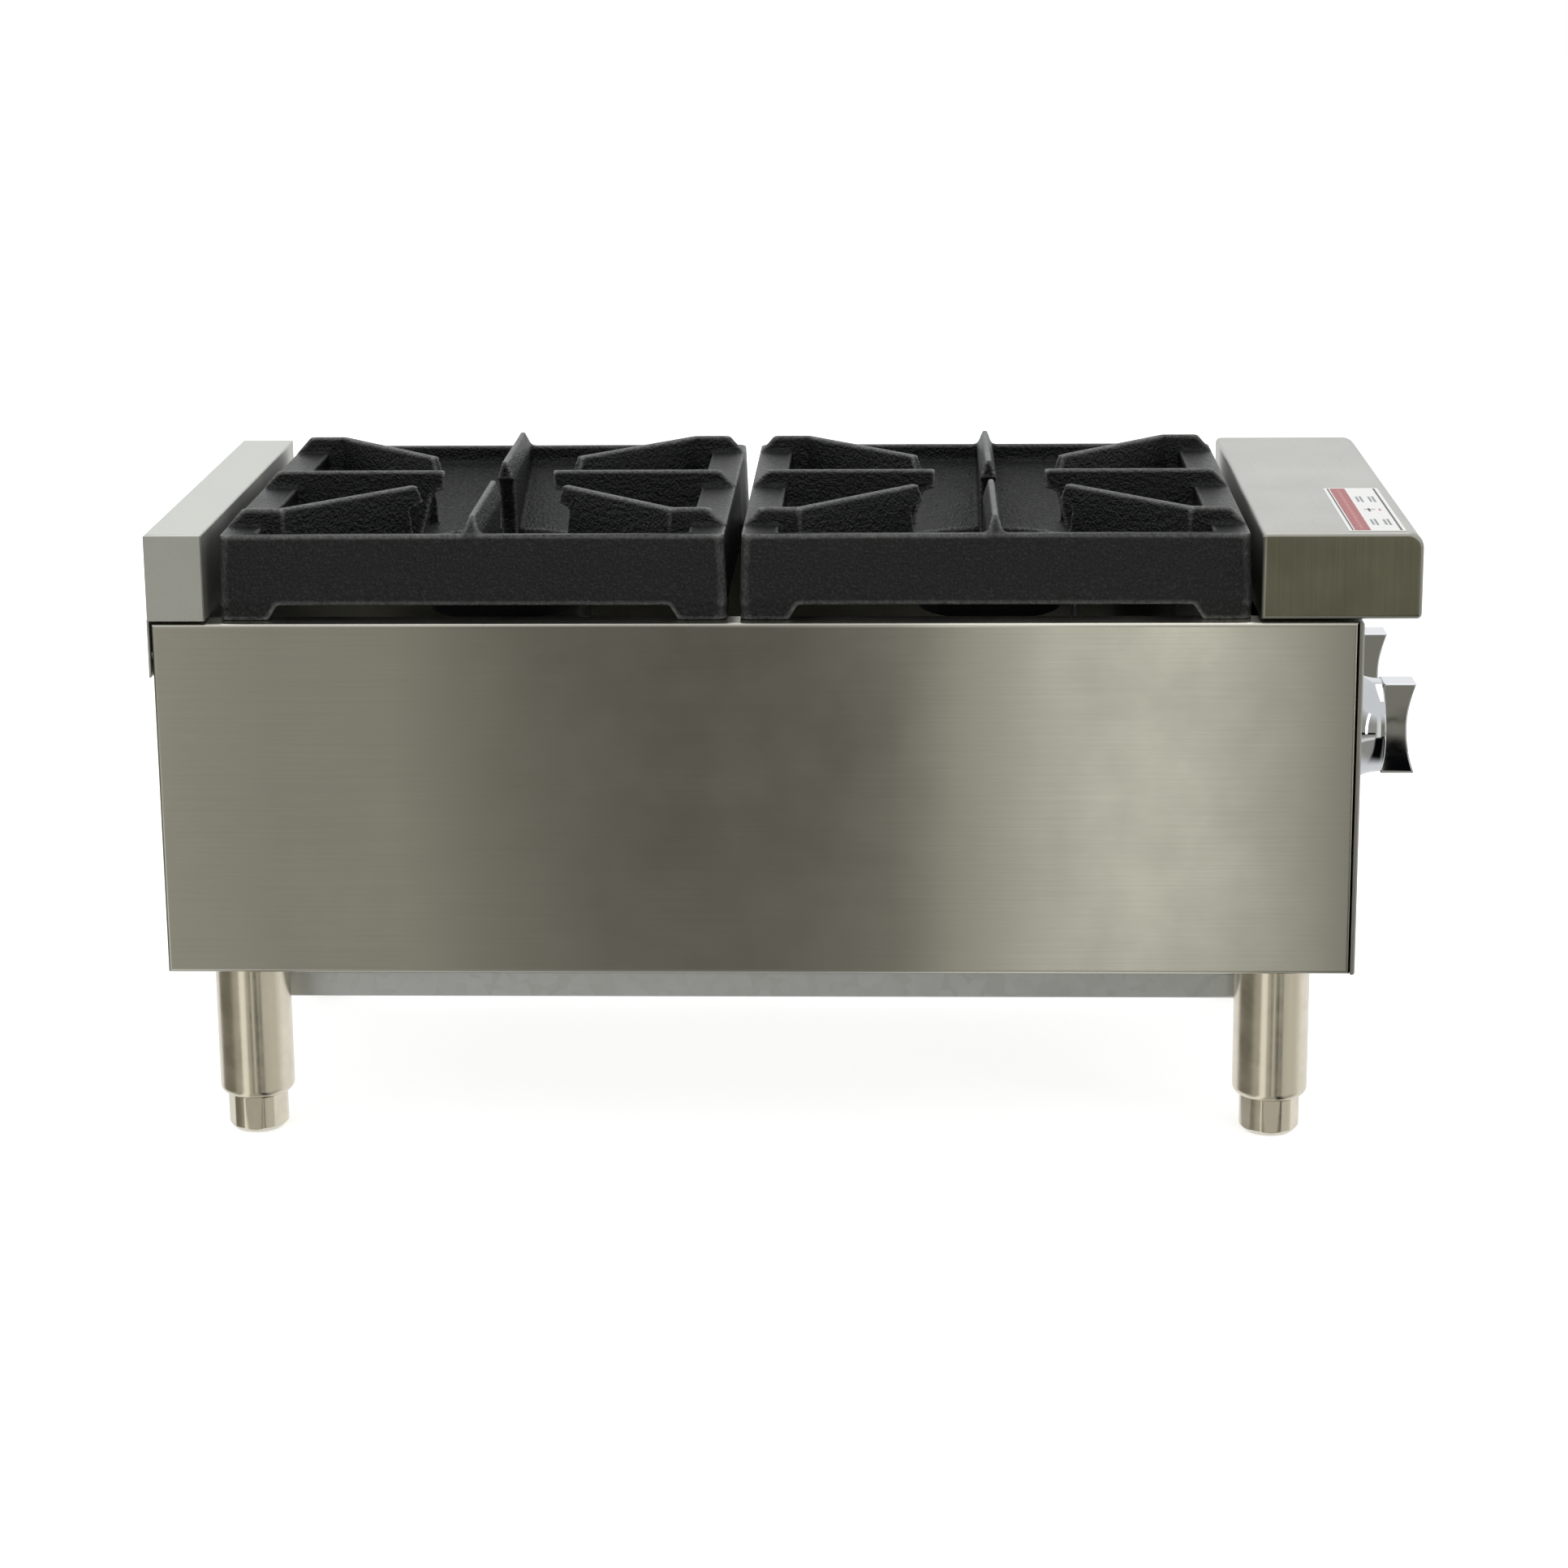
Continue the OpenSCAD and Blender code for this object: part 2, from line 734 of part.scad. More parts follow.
// Plug valve: an upright inlet on the manifold and a level barrel behind the knob
module valve_body(side) {
  color("#b08d4c") translate([side * knob_x, 0, 0]) difference() {
    union() {
      rod_z(valve_inlet_r, z_pipe + 8, z_knob, 0, y_manifold);
      translate([0, y_manifold, z_pipe + pipe_r + 1]) cylinder(r = 10, h = 9, $fn = 6);
      rod_y(12, y_manifold - 11, y_manifold + 8, 0, z_knob);
      rod_y(9, y_manifold - 16, y_manifold, 0, z_knob);
      rod_y(7, y_manifold, y_manifold + 12, 0, z_knob);
    }
    rod_y(stem_r + 0.06, y_manifold - 20, y_manifold - 4, 0, z_knob);
    rod_y(2.5, y_manifold - 5, y_manifold + 13, 0, z_knob);
    rod_z(3, z_pipe + 7, z_knob, 0, y_manifold);
  }
}

module left_valve_body() {
  valve_body(-1);
}

module right_valve_body() {
  valve_body(1);
}

// Stem that turns with the knob, with a flat on its outer end
module valve_stem(side) {
  y0 = y_panel - 18;
  color("#c0a566") translate([side * knob_x, 0, 0]) difference() {
    rod_y(stem_r, y0, y_manifold - 4.2, 0, z_knob);
    box([-stem_r, y0 - 1, z_knob + 2.4], [stem_r, y0 + 14, z_knob + stem_r + 1]);
  }
}

module left_valve_stem() {
  valve_stem(-1);
}

module right_valve_stem() {
  valve_stem(1);
}

module orifice(side) {
  color("#c9ae62") translate([side * knob_x, y_manifold + 12, z_knob]) rotate([-90, 0, 0])
    difference() {
      union() {
        cylinder(r = 7.5, h = 6, $fn = 6);
        cylinder(r1 = 6, r2 = 4, h = 11, $fn = mid);
      }
      translate([0, 0, -1]) cylinder(r = 2.5, h = 9, $fn = mid);
      cylinder(r = 0.9, h = 12, $fn = mid);
    }
}

module left_orifice() {
  orifice(-1);
}

module right_orifice() {
  orifice(1);
}

// Knob: a flared round skirt and an upright grip bar with a hollowed front edge
module knob(side) {
  back = y_panel - 0.8;
  face = -y_back + 19;
  grip_h = 53;
  grip_t = 20;
  hollow = 5;
  dish_r = ((grip_h / 2) ^ 2 + hollow ^ 2) / (2 * hollow);
  flare_l = back - face;
  waist = [for (i = [0:12]) let (t = i / 12)
    [face_dia / 2 + (skirt_dia - face_dia) / 2 * (1 - t) ^ 2.2, t * flare_l]];
  color("#d5d7da") translate([side * knob_x, 0, z_knob]) difference() {
    union() {
      translate([0, back, 0]) rotate([90, 0, 0]) rotate_extrude($fn = fine)
        polygon(concat([[0, 0]], waist, [[0, flare_l]]));
      difference() {
        box([-grip_t / 2, -y_back, -grip_h / 2], [grip_t / 2, face + 1, grip_h / 2]);
        translate([0, -y_back + hollow - dish_r, 0]) rotate([0, 90, 0])
          cylinder(r = dish_r, h = grip_t + 2, center = true, $fn = 192);
      }
    }
    rod_y(stem_r + 0.05, y_panel - 18.2, y_panel);
    translate([0, back + 0.1, 0]) rotate([90, 0, 0]) rotate_extrude($fn = fine)
      translate([10, 0]) square([14, 10]);
  }
}

module left_knob() {
  knob(-1);
}

module right_knob() {
  knob(1);
}

// Small valve on the manifold that feeds a pilot light
module pilot_valve(x) {
  color("#b08d4c") {
    rod_z(pilot_inlet_r, z_pipe + 8, z_pipe + 34, x, y_manifold);
    translate([x, y_manifold, z_pipe + pipe_r + 1]) cylinder(r = 8, h = 6, $fn = 6);
    rod_y(pilot_inlet_r, y_manifold - 8, y_manifold, x, z_pilot_line);
    rod_y(pilot_inlet_r, y_manifold, y_manifold + 10, x, z_pilot_line);
    translate([x, y_manifold, z_pipe + 30]) cylinder(r = pilot_inlet_r, h = 18, $fn = mid);
  }
}

module front_pilot_valve() {
  pilot_valve(pilot_x);
}

module rear_pilot_valve() {
  pilot_valve(-pilot_x);
}

// Thin tube along the body, then up beside the burner
module pilot_tube(x, y) {
  y0 = y_manifold + 10;
  y1 = y - pilot_reach;
  color("#c4c6c6") {
    rod_y(pilot_tube_r, y0, y1, x, z_pilot_line);
    translate([x, y1, z_pilot_line]) sphere(pilot_tube_r, $fn = mid);
    rod_z(pilot_tube_r, z_pilot_line, z_head_top - 26, x, y1);
  }
}

module front_pilot_tube() {
  pilot_tube(pilot_x, y_front_burner);
}

module rear_pilot_tube() {
  pilot_tube(-pilot_x, y_rear_burner);
}

// Pilot tip with a small hood
module pilot_burner(x, y) {
  z0 = z_head_top - 26;
  color("#8f8f8a") translate([x, y - pilot_reach, 0]) {
    rod_z(5, z0, z0 + 14);
    rod_z(3, z0 + 13, z0 + 20);
  }
}

module front_pilot_burner() {
  pilot_burner(pilot_x, y_front_burner);
}

module rear_pilot_burner() {
  pilot_burner(-pilot_x, y_rear_burner);
}

// Round-headed screw that points down -Z, with its head on the level of the origin
module screw(length) {
  cylinder(r = 3.6, h = 1.6, $fn = mid);
  translate([0, 0, -length]) cylinder(r = screw_r, h = length + 0.1, $fn = mid);
}

// Flat-headed screws, flush in a sheet whose outer face is at y
module flush_screws(places, y) {
  color("#c9cbcb") for (p = places) {
    rod_y(flat_head_r, y - sheet, y, p[0], p[1]);
    rod_y(screw_r, y - 10, y - sheet / 2, p[0], p[1]);
  }
}

module rear_panel_screws() {
  flush_screws(rear_screw_places(), y_side_back);
}

module trim_screws() {
  flush_screws(trim_screw_places(), y_back);
}

module control_panel_screws() {
  color("#c9cbcb") for (x = panel_screw_xs)
    translate([x, y_panel_screws, z_body]) rotate([180, 0, 0]) screw(6);
}

left_side_panel();
right_side_panel();
rear_panel();
control_panel();
rear_trim();
front_ledge();
instruction_label();
heat_shield();
front_base_plate();
rear_base_plate();
front_burner_rail();
middle_burner_rail();
rear_burner_rail();
left_tray_runner();
right_tray_runner();
crumb_tray();
front_left_leg();
front_right_leg();
rear_left_leg();
rear_right_leg();
front_left_foot();
front_right_foot();
rear_left_foot();
rear_right_foot();
leg_nuts();
front_grate();
rear_grate();
front_burner_head();
rear_burner_head();
front_burner_body();
rear_burner_body();
front_air_shutter();
rear_air_shutter();
manifold_pipe();
manifold_plug();
manifold_brackets();
supply_elbow();
supply_pipe();
inlet_coupling();
left_valve_body();
right_valve_body();
left_valve_stem();
right_valve_stem();
left_orifice();
right_orifice();
left_knob();
right_knob();
front_pilot_valve();
rear_pilot_valve();
front_pilot_tube();
rear_pilot_tube();
front_pilot_burner();
rear_pilot_burner();
rear_panel_screws();
trim_screws();
control_panel_screws();
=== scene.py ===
"""Looks of the two-burner gas hot plate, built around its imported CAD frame."""

import math

import bmesh
import bpy
from mathutils import Matrix, Quaternion, Vector


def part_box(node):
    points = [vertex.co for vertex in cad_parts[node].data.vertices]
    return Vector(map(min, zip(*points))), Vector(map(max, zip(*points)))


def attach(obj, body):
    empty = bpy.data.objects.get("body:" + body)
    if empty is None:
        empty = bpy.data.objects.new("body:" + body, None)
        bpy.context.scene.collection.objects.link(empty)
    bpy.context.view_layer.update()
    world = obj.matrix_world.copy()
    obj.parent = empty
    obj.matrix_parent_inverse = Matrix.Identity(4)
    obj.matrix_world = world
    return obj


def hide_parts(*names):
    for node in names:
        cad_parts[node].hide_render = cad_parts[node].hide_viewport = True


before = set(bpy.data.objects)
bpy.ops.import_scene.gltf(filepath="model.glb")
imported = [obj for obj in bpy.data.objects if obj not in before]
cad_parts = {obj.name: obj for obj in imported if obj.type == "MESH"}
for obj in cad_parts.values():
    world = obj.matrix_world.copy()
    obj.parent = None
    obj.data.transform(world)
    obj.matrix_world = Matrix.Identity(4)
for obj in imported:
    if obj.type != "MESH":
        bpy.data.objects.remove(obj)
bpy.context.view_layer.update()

bl_info = {
    "name": "Two-burner gas hot plate",
    "version": (1, 0, 0),
    "blender": (4, 5, 0),
    "location": "3D View > Sidebar > Hot Plate",
    "description": "Sheet steel, cast iron, chrome and stage of a counter hot plate",
    "category": "Object",
}

MM = 0.001
X, Y, Z = Vector((1, 0, 0)), Vector((0, 1, 0)), Vector((0, 0, 1))


def linear(code):
    """sRGB hex code to linear red, green and blue."""
    values = [int(code[i : i + 2], 16) / 255 for i in (0, 2, 4)]
    return [v / 12.92 if v <= 0.04045 else ((v + 0.055) / 1.055) ** 2.4 for v in values]


def length(name, description, millimetres):
    """A length setting, given in millimetres and kept in metres."""
    return bpy.props.FloatProperty(
        name=name, description=description, default=millimetres * MM, unit="LENGTH", precision=4
    )


def colour(name, description, code):
    """A colour setting, given as an sRGB hex code."""
    return bpy.props.FloatVectorProperty(
        name=name, description=description, default=linear(code), subtype="COLOR", min=0, max=1
    )


# ---------------------------------------------------------------- settings


class HotPlateSheetMetal(bpy.types.PropertyGroup):
    """Sizes and colours of the folded sheet parts"""

    sheet: length("Sheet", "Thickness of the folded sheets", 1.2)
    panel_bend: length("Panel bend", "Outer radius of the side panels' bends", 2.4)
    ledge_nose: length("Ledge nose", "Radius along the top front of the ledge", 9)
    ledge_fold: length("Ledge fold", "Radius of the ledge's other long bends", 3)
    ledge_end: length("Ledge end", "Radius round the ledge's end caps", 2.9)
    trim_fold: length("Trim fold", "Radius of the rear trim's edges", 1.6)
    runner_bend: length("Runner bend", "Radius of the tray runners' bends", 1.4)
    steel: colour("Steel", "Brushed stainless steel of the body", "CCCABF")
    ledge: colour("Ledge steel", "Stainless steel of the ledge's top and front", "A6A59E")
    # Painted shade: the ledge's end caps are the same steel as its top, given a darker, warmer
    # colour
    end_steel_painted_darker: colour("Ledge end steel", "Stainless steel of the ledge's end caps", "7E7C6A")
    trim: colour("Trim aluminium", "Satin aluminium of the rear trim", "C4C5BF")
    zinc: colour("Galvanised steel", "Zinc-coated steel of runners and plates", "D2D4D4")


class HotPlateGrates(bpy.types.PropertyGroup):
    """Sizes and colours of the cast-iron grates"""

    draft: length("Wall draft", "How much each wall leans in towards its top", 1.5)
    rim: length("Rim", "Width of the narrow rims at the sides", 6)
    pad: length("Pad", "Width of the flat rims at the front and back", 20)
    wall: length("Wall", "Thickness of the walls", 6.5)
    iron: length("Bowl iron", "Thickness of the bowl", 5)
    corner: length("Corner", "Radius of the upright corners", 5)
    finger_top: length("Finger top", "Thickness of a finger along its top", 4.6)
    spike_top: length("Spike top", "Thickness of the sharp side fingers along their top", 2.6)
    iron_colour: colour("Cast iron", "Black cast iron", "0A0B0C")
    # Pale iron for the convex edges: partly real wearing, partly a painted edge highlight
    edge_wear_and_highlight_colour: colour("Worn iron", "Iron that shows along worn edges", "7C7E7B")


class HotPlateControls(bpy.types.PropertyGroup):
    """Sizes and colours of the knobs and the sticker"""

    grip_thickness: length("Grip", "Thickness of a knob's grip bar", 20)
    grip_height: length("Grip height", "Length of a knob's grip bar", 53)
    grip_hollow: length("Grip hollow", "Depth of the hollow along the grip's front edge", 5)
    face: length("Knob face", "Diameter of a knob's round front face", 54)
    chrome: colour("Chrome", "Bright chrome plating of the knobs", "CDCFD2")
    band: colour("Sticker band", "Printed band along the sticker", "9A3B3D")


class HotPlateStage(bpy.types.PropertyGroup):
    """Camera, lights and floor"""

    lens: bpy.props.FloatProperty(
        name="Lens", description="Focal length on a 36 mm sensor", default=80.98, unit="CAMERA"
    )
    floor: colour("Floor", "Plain pale floor", "F4F4F2")
    key_power: bpy.props.FloatProperty(
        name="Overhead light", description="Power of the overhead softbox", default=16, unit="POWER"
    )


GROUPS = {
    "hot_plate_sheet": HotPlateSheetMetal,
    "hot_plate_grates": HotPlateGrates,
    "hot_plate_controls": HotPlateControls,
    "hot_plate_stage": HotPlateStage,
}


# ---------------------------------------------------------------- materials


RGB = {"data_type": "RGBA"}
MULTIPLY = {"data_type": "RGBA", "blend_type": "MULTIPLY"}


def add_node(tree, kind, settings=None, inputs=None):
    """Adds a shader node with its settings, its input values and the links into it."""
    node = tree.nodes.new("ShaderNode" + kind)
    for key, value in (settings or {}).items():
        setattr(node, key, value)
    for key, value in (inputs or {}).items():
        socket = node.inputs[key]
        if isinstance(value, bpy.types.NodeSocket):
            tree.links.new(value, socket)
        elif socket.type == "RGBA":
            socket.default_value = (*value[:3], 1)
        else:
            socket.default_value = value
    return node


def noise(tree, coords, size, detail=2, roughness=0.5):
    """Cloudy noise from 0 to 1, with features of the given size."""
    values = {"Vector": coords, "Scale": 1 / size, "Detail": detail, "Roughness": roughness}
    return add_node(tree, "TexNoise", None, values).outputs[0]


def blend(tree, share, first, second, kind=RGB):
    """Two colours mixed by a share from 0 to 1."""
    return add_node(tree, "Mix", kind, {0: share, 6: first, 7: second}).outputs[2]


def ranged(tree, value, start, stop, low=0, high=1):
    """A value brought from the span start to stop to the span low to high."""
    span = {"Value": value, "From Min": start, "From Max": stop, "To Min": low, "To Max": high}
    return add_node(tree, "MapRange", None, span).outputs[0]


def relief(tree, height, depth, under=None):
    """Normals of a pattern of the given depth, laid over another relief if there is one."""
    values = {"Height": height, "Distance": depth}
    if under:
        values["Normal"] = under
    return add_node(tree, "Bump", None, values).outputs[0]


def surface(name, plain):
    """A new material: its tree, its shader with the plain values, and Object coordinates."""
    made = bpy.data.materials.new(name)
    made.use_nodes = True
    tree = made.node_tree
    tree.nodes.clear()
    shader = add_node(tree, "BsdfPrincipled", None, plain)
    add_node(tree, "OutputMaterial", None, {"Surface": shader.outputs[0]})
    coords = add_node(tree, "TexCoord").outputs["Object"]
    return made, tree, shader, coords


def dress(tree, shader, tint, gloss, normals, grain=None):
    """Links the patterns into the shader; grain holds the settings of a brushing direction."""
    links = {"Base Color": tint, "Roughness": gloss, "Normal": normals}
    if grain:
        links["Tangent"] = add_node(tree, "Tangent", grain).outputs[0]
    for key, value in links.items():
        tree.links.new(value, shader.inputs[key])


def shaded(rgb, factor):
    """A colour made lighter or darker."""
    return [min(1, c * factor) for c in rgb]


# Painted reflection: broad light and dark bands painted into the side panels' colour along their
# length, where the steel's reflections fall. Each: share of the length from the front, tone
SIDE_REFLECTION_BANDS = (
    (0.0, 0.72),
    (0.05, 0.94),
    (0.12, 1.14),
    (0.26, 1.18),
    (0.33, 1.0),
    (0.355, 0.84),
    (0.385, 0.68),
    (0.46, 0.57),
    (0.6, 0.57),
    (0.7, 0.64),
    (0.8, 0.8),
    (0.9, 0.76),
    (1.0, 0.86),
)


def painted_reflection_bands(tree, coords, reflection_bands):
    """The tones of the painted reflection bands, laid along the whole length of a side panel."""
    low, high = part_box("left_side_panel")
    reach = add_node(tree, "SeparateXYZ", None, {0: coords}).outputs[1]
    ramp = add_node(tree, "ValToRGB", None, {0: ranged(tree, reach, low.y, high.y)})
    stops = ramp.color_ramp.elements
    while len(stops) < len(reflection_bands):
        stops.new(0.5)
    for stop, (place, tone) in zip(stops, reflection_bands):
        stop.position = place
        stop.color = (tone, tone, tone * 0.995, 1)
    return ramp.outputs[0]


def brushed_steel(name, rgb, stretch, rough=0.24, reflection_bands=(), cloud=120 * MM, swing=0.2):
    """Stainless sheet, belt-brushed along one axis and handled. Given reflection bands, it also has
    painted reflections multiplied into its colour.
    To the eye: fine parallel streaks, highlights drawn out across the grain, soft cloudy marks.
    Real streaks are about 0.1 mm apart, drawn from 1.2 mm down so that they show."""
    made, tree, shader, coords = surface(name, {"Metallic": 1.0, "Anisotropic": 0.8})
    along = add_node(tree, "Mapping", None, {"Vector": coords, "Scale": stretch}).outputs[0]
    streaks = noise(tree, along, 1.2 * MM, 4, 0.65)
    clouds = noise(tree, coords, cloud, 3)
    smudges = noise(tree, coords, 45 * MM, 5, 0.6)
    dark, light = shaded(rgb, 1 - swing), shaded(rgb, 1 + swing)
    fine, soft = blend(tree, streaks, dark, light), blend(tree, clouds, dark, light)
    tint = blend(tree, 0.5, fine, soft)
    # Painted reflection: the bands make the colour lighter and darker along the panel
    if reflection_bands:
        tint = blend(tree, 1, tint, painted_reflection_bands(tree, coords, reflection_bands), MULTIPLY)
    gloss = ranged(tree, smudges, 0.3, 0.7, rough - 0.025, rough + 0.035)
    grain = {"direction_type": "UV_MAP", "uv_map": "grain"}
    dress(tree, shader, tint, gloss, relief(tree, streaks, 0.004 * MM), grain)
    return made


def cast_iron(name, rgb, edge_wear_and_highlight):
    """Sand-cast iron with a baked black coat.
    To the eye: a pebbly skin of about 2.8 mm with finer grit, satin sheen, and paler convex edges,
    partly real wearing and partly a painted highlight."""
    plain = {"Metallic": 0.0, "Specular IOR Level": 0.32}
    made, tree, shader, coords = surface(name, plain)
    pebbles = noise(tree, coords, 2.8 * MM, 3, 0.6)
    grit = noise(tree, coords, 1.4 * MM, 2, 0.6)
    patches = noise(tree, coords, 38 * MM, 4, 0.6)
    # Convex edges go pale: partly real wearing, partly a painted highlight where the edges catch
    # the light
    edge = add_node(tree, "NewGeometry").outputs["Pointiness"]
    ridge = ranged(tree, edge, 0.506, 0.555)
    pebble_break = ranged(tree, pebbles, 0.3, 0.65, 0.45, 1.1)
    times = {"operation": "MULTIPLY", "use_clamp": True}
    wear_and_highlight_share = add_node(tree, "Math", times, {0: ridge, 1: pebble_break}).outputs[0]
    coat = blend(tree, patches, shaded(rgb, 0.5), shaded(rgb, 1.7))
    speckled = blend(tree, ranged(tree, grit, 0.52, 0.7), coat, shaded(rgb, 5))
    sheen = ranged(tree, patches, 0.3, 0.7, 0.27, 0.42)
    pebbled = relief(tree, pebbles, 1.5 * MM)
    gritty = relief(tree, grit, 0.6 * MM, pebbled)
    dress(tree, shader, blend(tree, wear_and_highlight_share, speckled, edge_wear_and_highlight), sheen, gritty)
    return made


def chrome(name, rgb):
    """Bright chrome over polished zinc. To the eye: a mirror with faint wipe marks."""
    made, tree, shader, coords = surface(name, {"Metallic": 1.0})
    wipes = noise(tree, coords, 9 * MM, 4, 0.6)
    ripples = noise(tree, coords, 16 * MM, 1)
    tint = blend(tree, wipes, shaded(rgb, 0.92), rgb)
    gloss = ranged(tree, wipes, 0.3, 0.7, 0.012, 0.03)
    dress(tree, shader, tint, gloss, relief(tree, ripples, 0.006 * MM))
    return made


def turned_metal(name, rgb, rough):
    """Tube or bar finished on a lathe, then satin plated.
    To the eye: rings round the axis, so highlights run up and down.
    Real tool marks are about 0.15 mm apart, drawn at 0.6 mm so that they show."""
    plain = {"Metallic": 1.0, "Anisotropic": 0.65, "Anisotropic Rotation": 0.25}
    made, tree, shader, coords = surface(name, plain)
    squeezed = {"Vector": coords, "Scale": (0.01, 0.01, 1)}
    squeezed = add_node(tree, "Mapping", None, squeezed).outputs[0]
    rings = noise(tree, squeezed, 0.6 * MM)
    rubs = noise(tree, coords, 14 * MM, 4, 0.6)
    tint = blend(tree, rubs, shaded(rgb, 0.8), shaded(rgb, 1.2))
    gloss = ranged(tree, rubs, 0.3, 0.7, rough - 0.04, rough + 0.05)
    grain = {"direction_type": "RADIAL", "axis": "Z"}
    dress(tree, shader, tint, gloss, relief(tree, rings, 0.004 * MM), grain)
    return made


def zinc_coated(name, rgb):
    """Hot-dip galvanised sheet. To the eye: cool grey with 7 mm crystals of uneven gloss."""
    made, tree, shader, coords = surface(name, {"Metallic": 1.0})
    cells = {"Vector": coords, "Scale": 1 / (7 * MM)}
    cells = add_node(tree, "TexVoronoi", {"feature": "F1"}, cells).outputs["Color"]
    level = add_node(tree, "SeparateColor", None, {0: cells}).outputs[0]
    dents = noise(tree, coords, 6 * MM)
    clouds = noise(tree, coords, 30 * MM, 4, 0.6)
    crystals = blend(tree, level, shaded(rgb, 0.86), shaded(rgb, 1.08))
    tint = blend(tree, clouds, crystals, shaded(rgb, 0.94))
    gloss = ranged(tree, level, 0, 1, 0.34, 0.5)
    dress(tree, shader, tint, gloss, relief(tree, dents, 0.1 * MM))
    return made


def blasted_metal(name, rgb, rough, grain=0.5 * MM, metallic=1.0, depth=0.03 * MM):
    """Metal with an even matt skin, as blasted, cast or oxidised.
    To the eye: grain of the given size without sparkle, and a slightly uneven tone."""
    made, tree, shader, coords = surface(name, {"Metallic": metallic})
    grains = noise(tree, coords, 2 * grain, 2, 0.6)
    clouds = noise(tree, coords, 50 * MM, 4, 0.6)
    dark, light = shaded(rgb, 0.86), shaded(rgb, 1.14)
    tone, speck = blend(tree, clouds, dark, light), blend(tree, grains, dark, light)
    gloss = ranged(tree, clouds, 0.3, 0.7, rough - 0.05, rough + 0.05)
    dress(tree, shader, blend(tree, 0.5, tone, speck), gloss, relief(tree, grains, depth))
    return made


def printed_vinyl(name, rgb):
    """Printed vinyl film under a clear coat. To the eye: flat ink, faint mottle, low gloss."""
    made, tree, shader, coords = surface(name, {"Metallic": 0.0, "Coat Weight": 0.1})
    mottle = noise(tree, coords, 3 * MM, 3, 0.6)
    gloss = ranged(tree, mottle, 0.3, 0.7, 0.4, 0.5)
    tint = blend(tree, mottle, shaded(rgb, 0.94), rgb)
    dress(tree, shader, tint, gloss, relief(tree, mottle, 0.01 * MM))
    return made


# How far the brushing is drawn out along each axis
GRAIN_X, GRAIN_Y, GRAIN_Z = (0.012, 1, 1), (1, 0.012, 1), (1, 1, 0.012)

# The material of each slot of the frame, for pieces that don't say otherwise
SLOT_MATERIALS = {
    "galvanised_sheet": "galvanised_sheet",
    "brushed_stainless": "stainless_lengthwise",
    "satin_aluminium": "satin_aluminium",
    "zinc_fasteners": "zinc_plated_fasteners",
    "satin_nickel": "satin_nickel",
    "black_cast_iron": "black_cast_iron",
    "grey_cast_iron": "grey_cast_iron",
    "black_pipe": "oxidised_pipe",
    "brass": "machined_brass",
    "chrome": "chrome_plate",
    "aluminium_tube": "drawn_aluminium_tube",
    "printed_label": "sticker_white",
}
MATERIALS = {}


def material(name):
    """The material of that name, made when it is first asked for."""
    if name in MATERIALS:
        return MATERIALS[name]
    scene = bpy.context.scene
    metal, grates = scene.hot_plate_sheet, scene.hot_plate_grates
    controls = scene.hot_plate_controls
    recipes = {
        "stainless_sides": (brushed_steel, metal.steel, GRAIN_Y, 0.22, SIDE_REFLECTION_BANDS, 120 * MM, 0.15),
        "stainless_lengthwise": (brushed_steel, metal.steel, GRAIN_Y),
        "stainless_crosswise": (brushed_steel, metal.ledge, GRAIN_X, 0.34),
        "stainless_ends": (brushed_steel, metal.end_steel_painted_darker, GRAIN_Z, 0.22, (), 26 * MM, 0.45),
        "satin_aluminium": (blasted_metal, metal.trim, 0.5),
        "galvanised_sheet": (zinc_coated, metal.zinc),
        "black_cast_iron": (cast_iron, grates.iron_colour, grates.edge_wear_and_highlight_colour),
        "grey_cast_iron": (blasted_metal, linear("3E3F40"), 0.6, 1.2 * MM, 0.6, 0.15 * MM),
        "chrome_plate": (chrome, controls.chrome),
        "satin_nickel": (turned_metal, linear("DED6C4"), 0.22),
        "zinc_plated_fasteners": (blasted_metal, linear("A9A9A2"), 0.34, 0.4 * MM),
        "machined_brass": (turned_metal, linear("C39E58"), 0.3),
        "oxidised_pipe": (blasted_metal, linear("43464A"), 0.5, 0.8 * MM, 0.8, 0.05 * MM),
        "drawn_aluminium_tube": (turned_metal, linear("C6C8C8"), 0.3),
        "sticker_white": (printed_vinyl, linear("E4E4E1")),
        "sticker_band": (printed_vinyl, controls.band),
        "sticker_pale": (printed_vinyl, linear("BE7674")),
        "sticker_black": (printed_vinyl, linear("2C2D2F")),
        "sticker_grey": (printed_vinyl, linear("7C8284")),
    }
    make, rgb, *rest = recipes[name]
    MATERIALS[name] = make(name, list(rgb), *rest)
    return MATERIALS[name]


# ---------------------------------------------------------------- mesh helpers


def box_mesh(low, high):
    """A bmesh box between two corners."""
    bm = bmesh.new()
    add_box(bm, low, high)
    return bm


def add_box(bm, low, high):
    """Adds a box between two corners and returns its vertices."""
    low, high = Vector(low), Vector(high)
    verts = bmesh.ops.create_cube(bm, size=1)["verts"]
    bmesh.ops.scale(bm, vec=high - low, verts=verts)
    bmesh.ops.translate(bm, vec=(low + high) / 2, verts=verts)
    return verts


def edges_at(bm, test):
    """The edges whose two ends both pass the test."""
    return [e for e in bm.edges if all(test(v.co) for v in e.verts)]


def upright_edges(bm, rise):
    """The edges that rise by more than a given height."""
    return [e for e in bm.edges if abs(e.verts[0].co.z - e.verts[1].co.z) > rise]


def edges_of(verts):
    """The edges that end at any of the vertices."""
    return list({e for v in verts for e in v.link_edges})


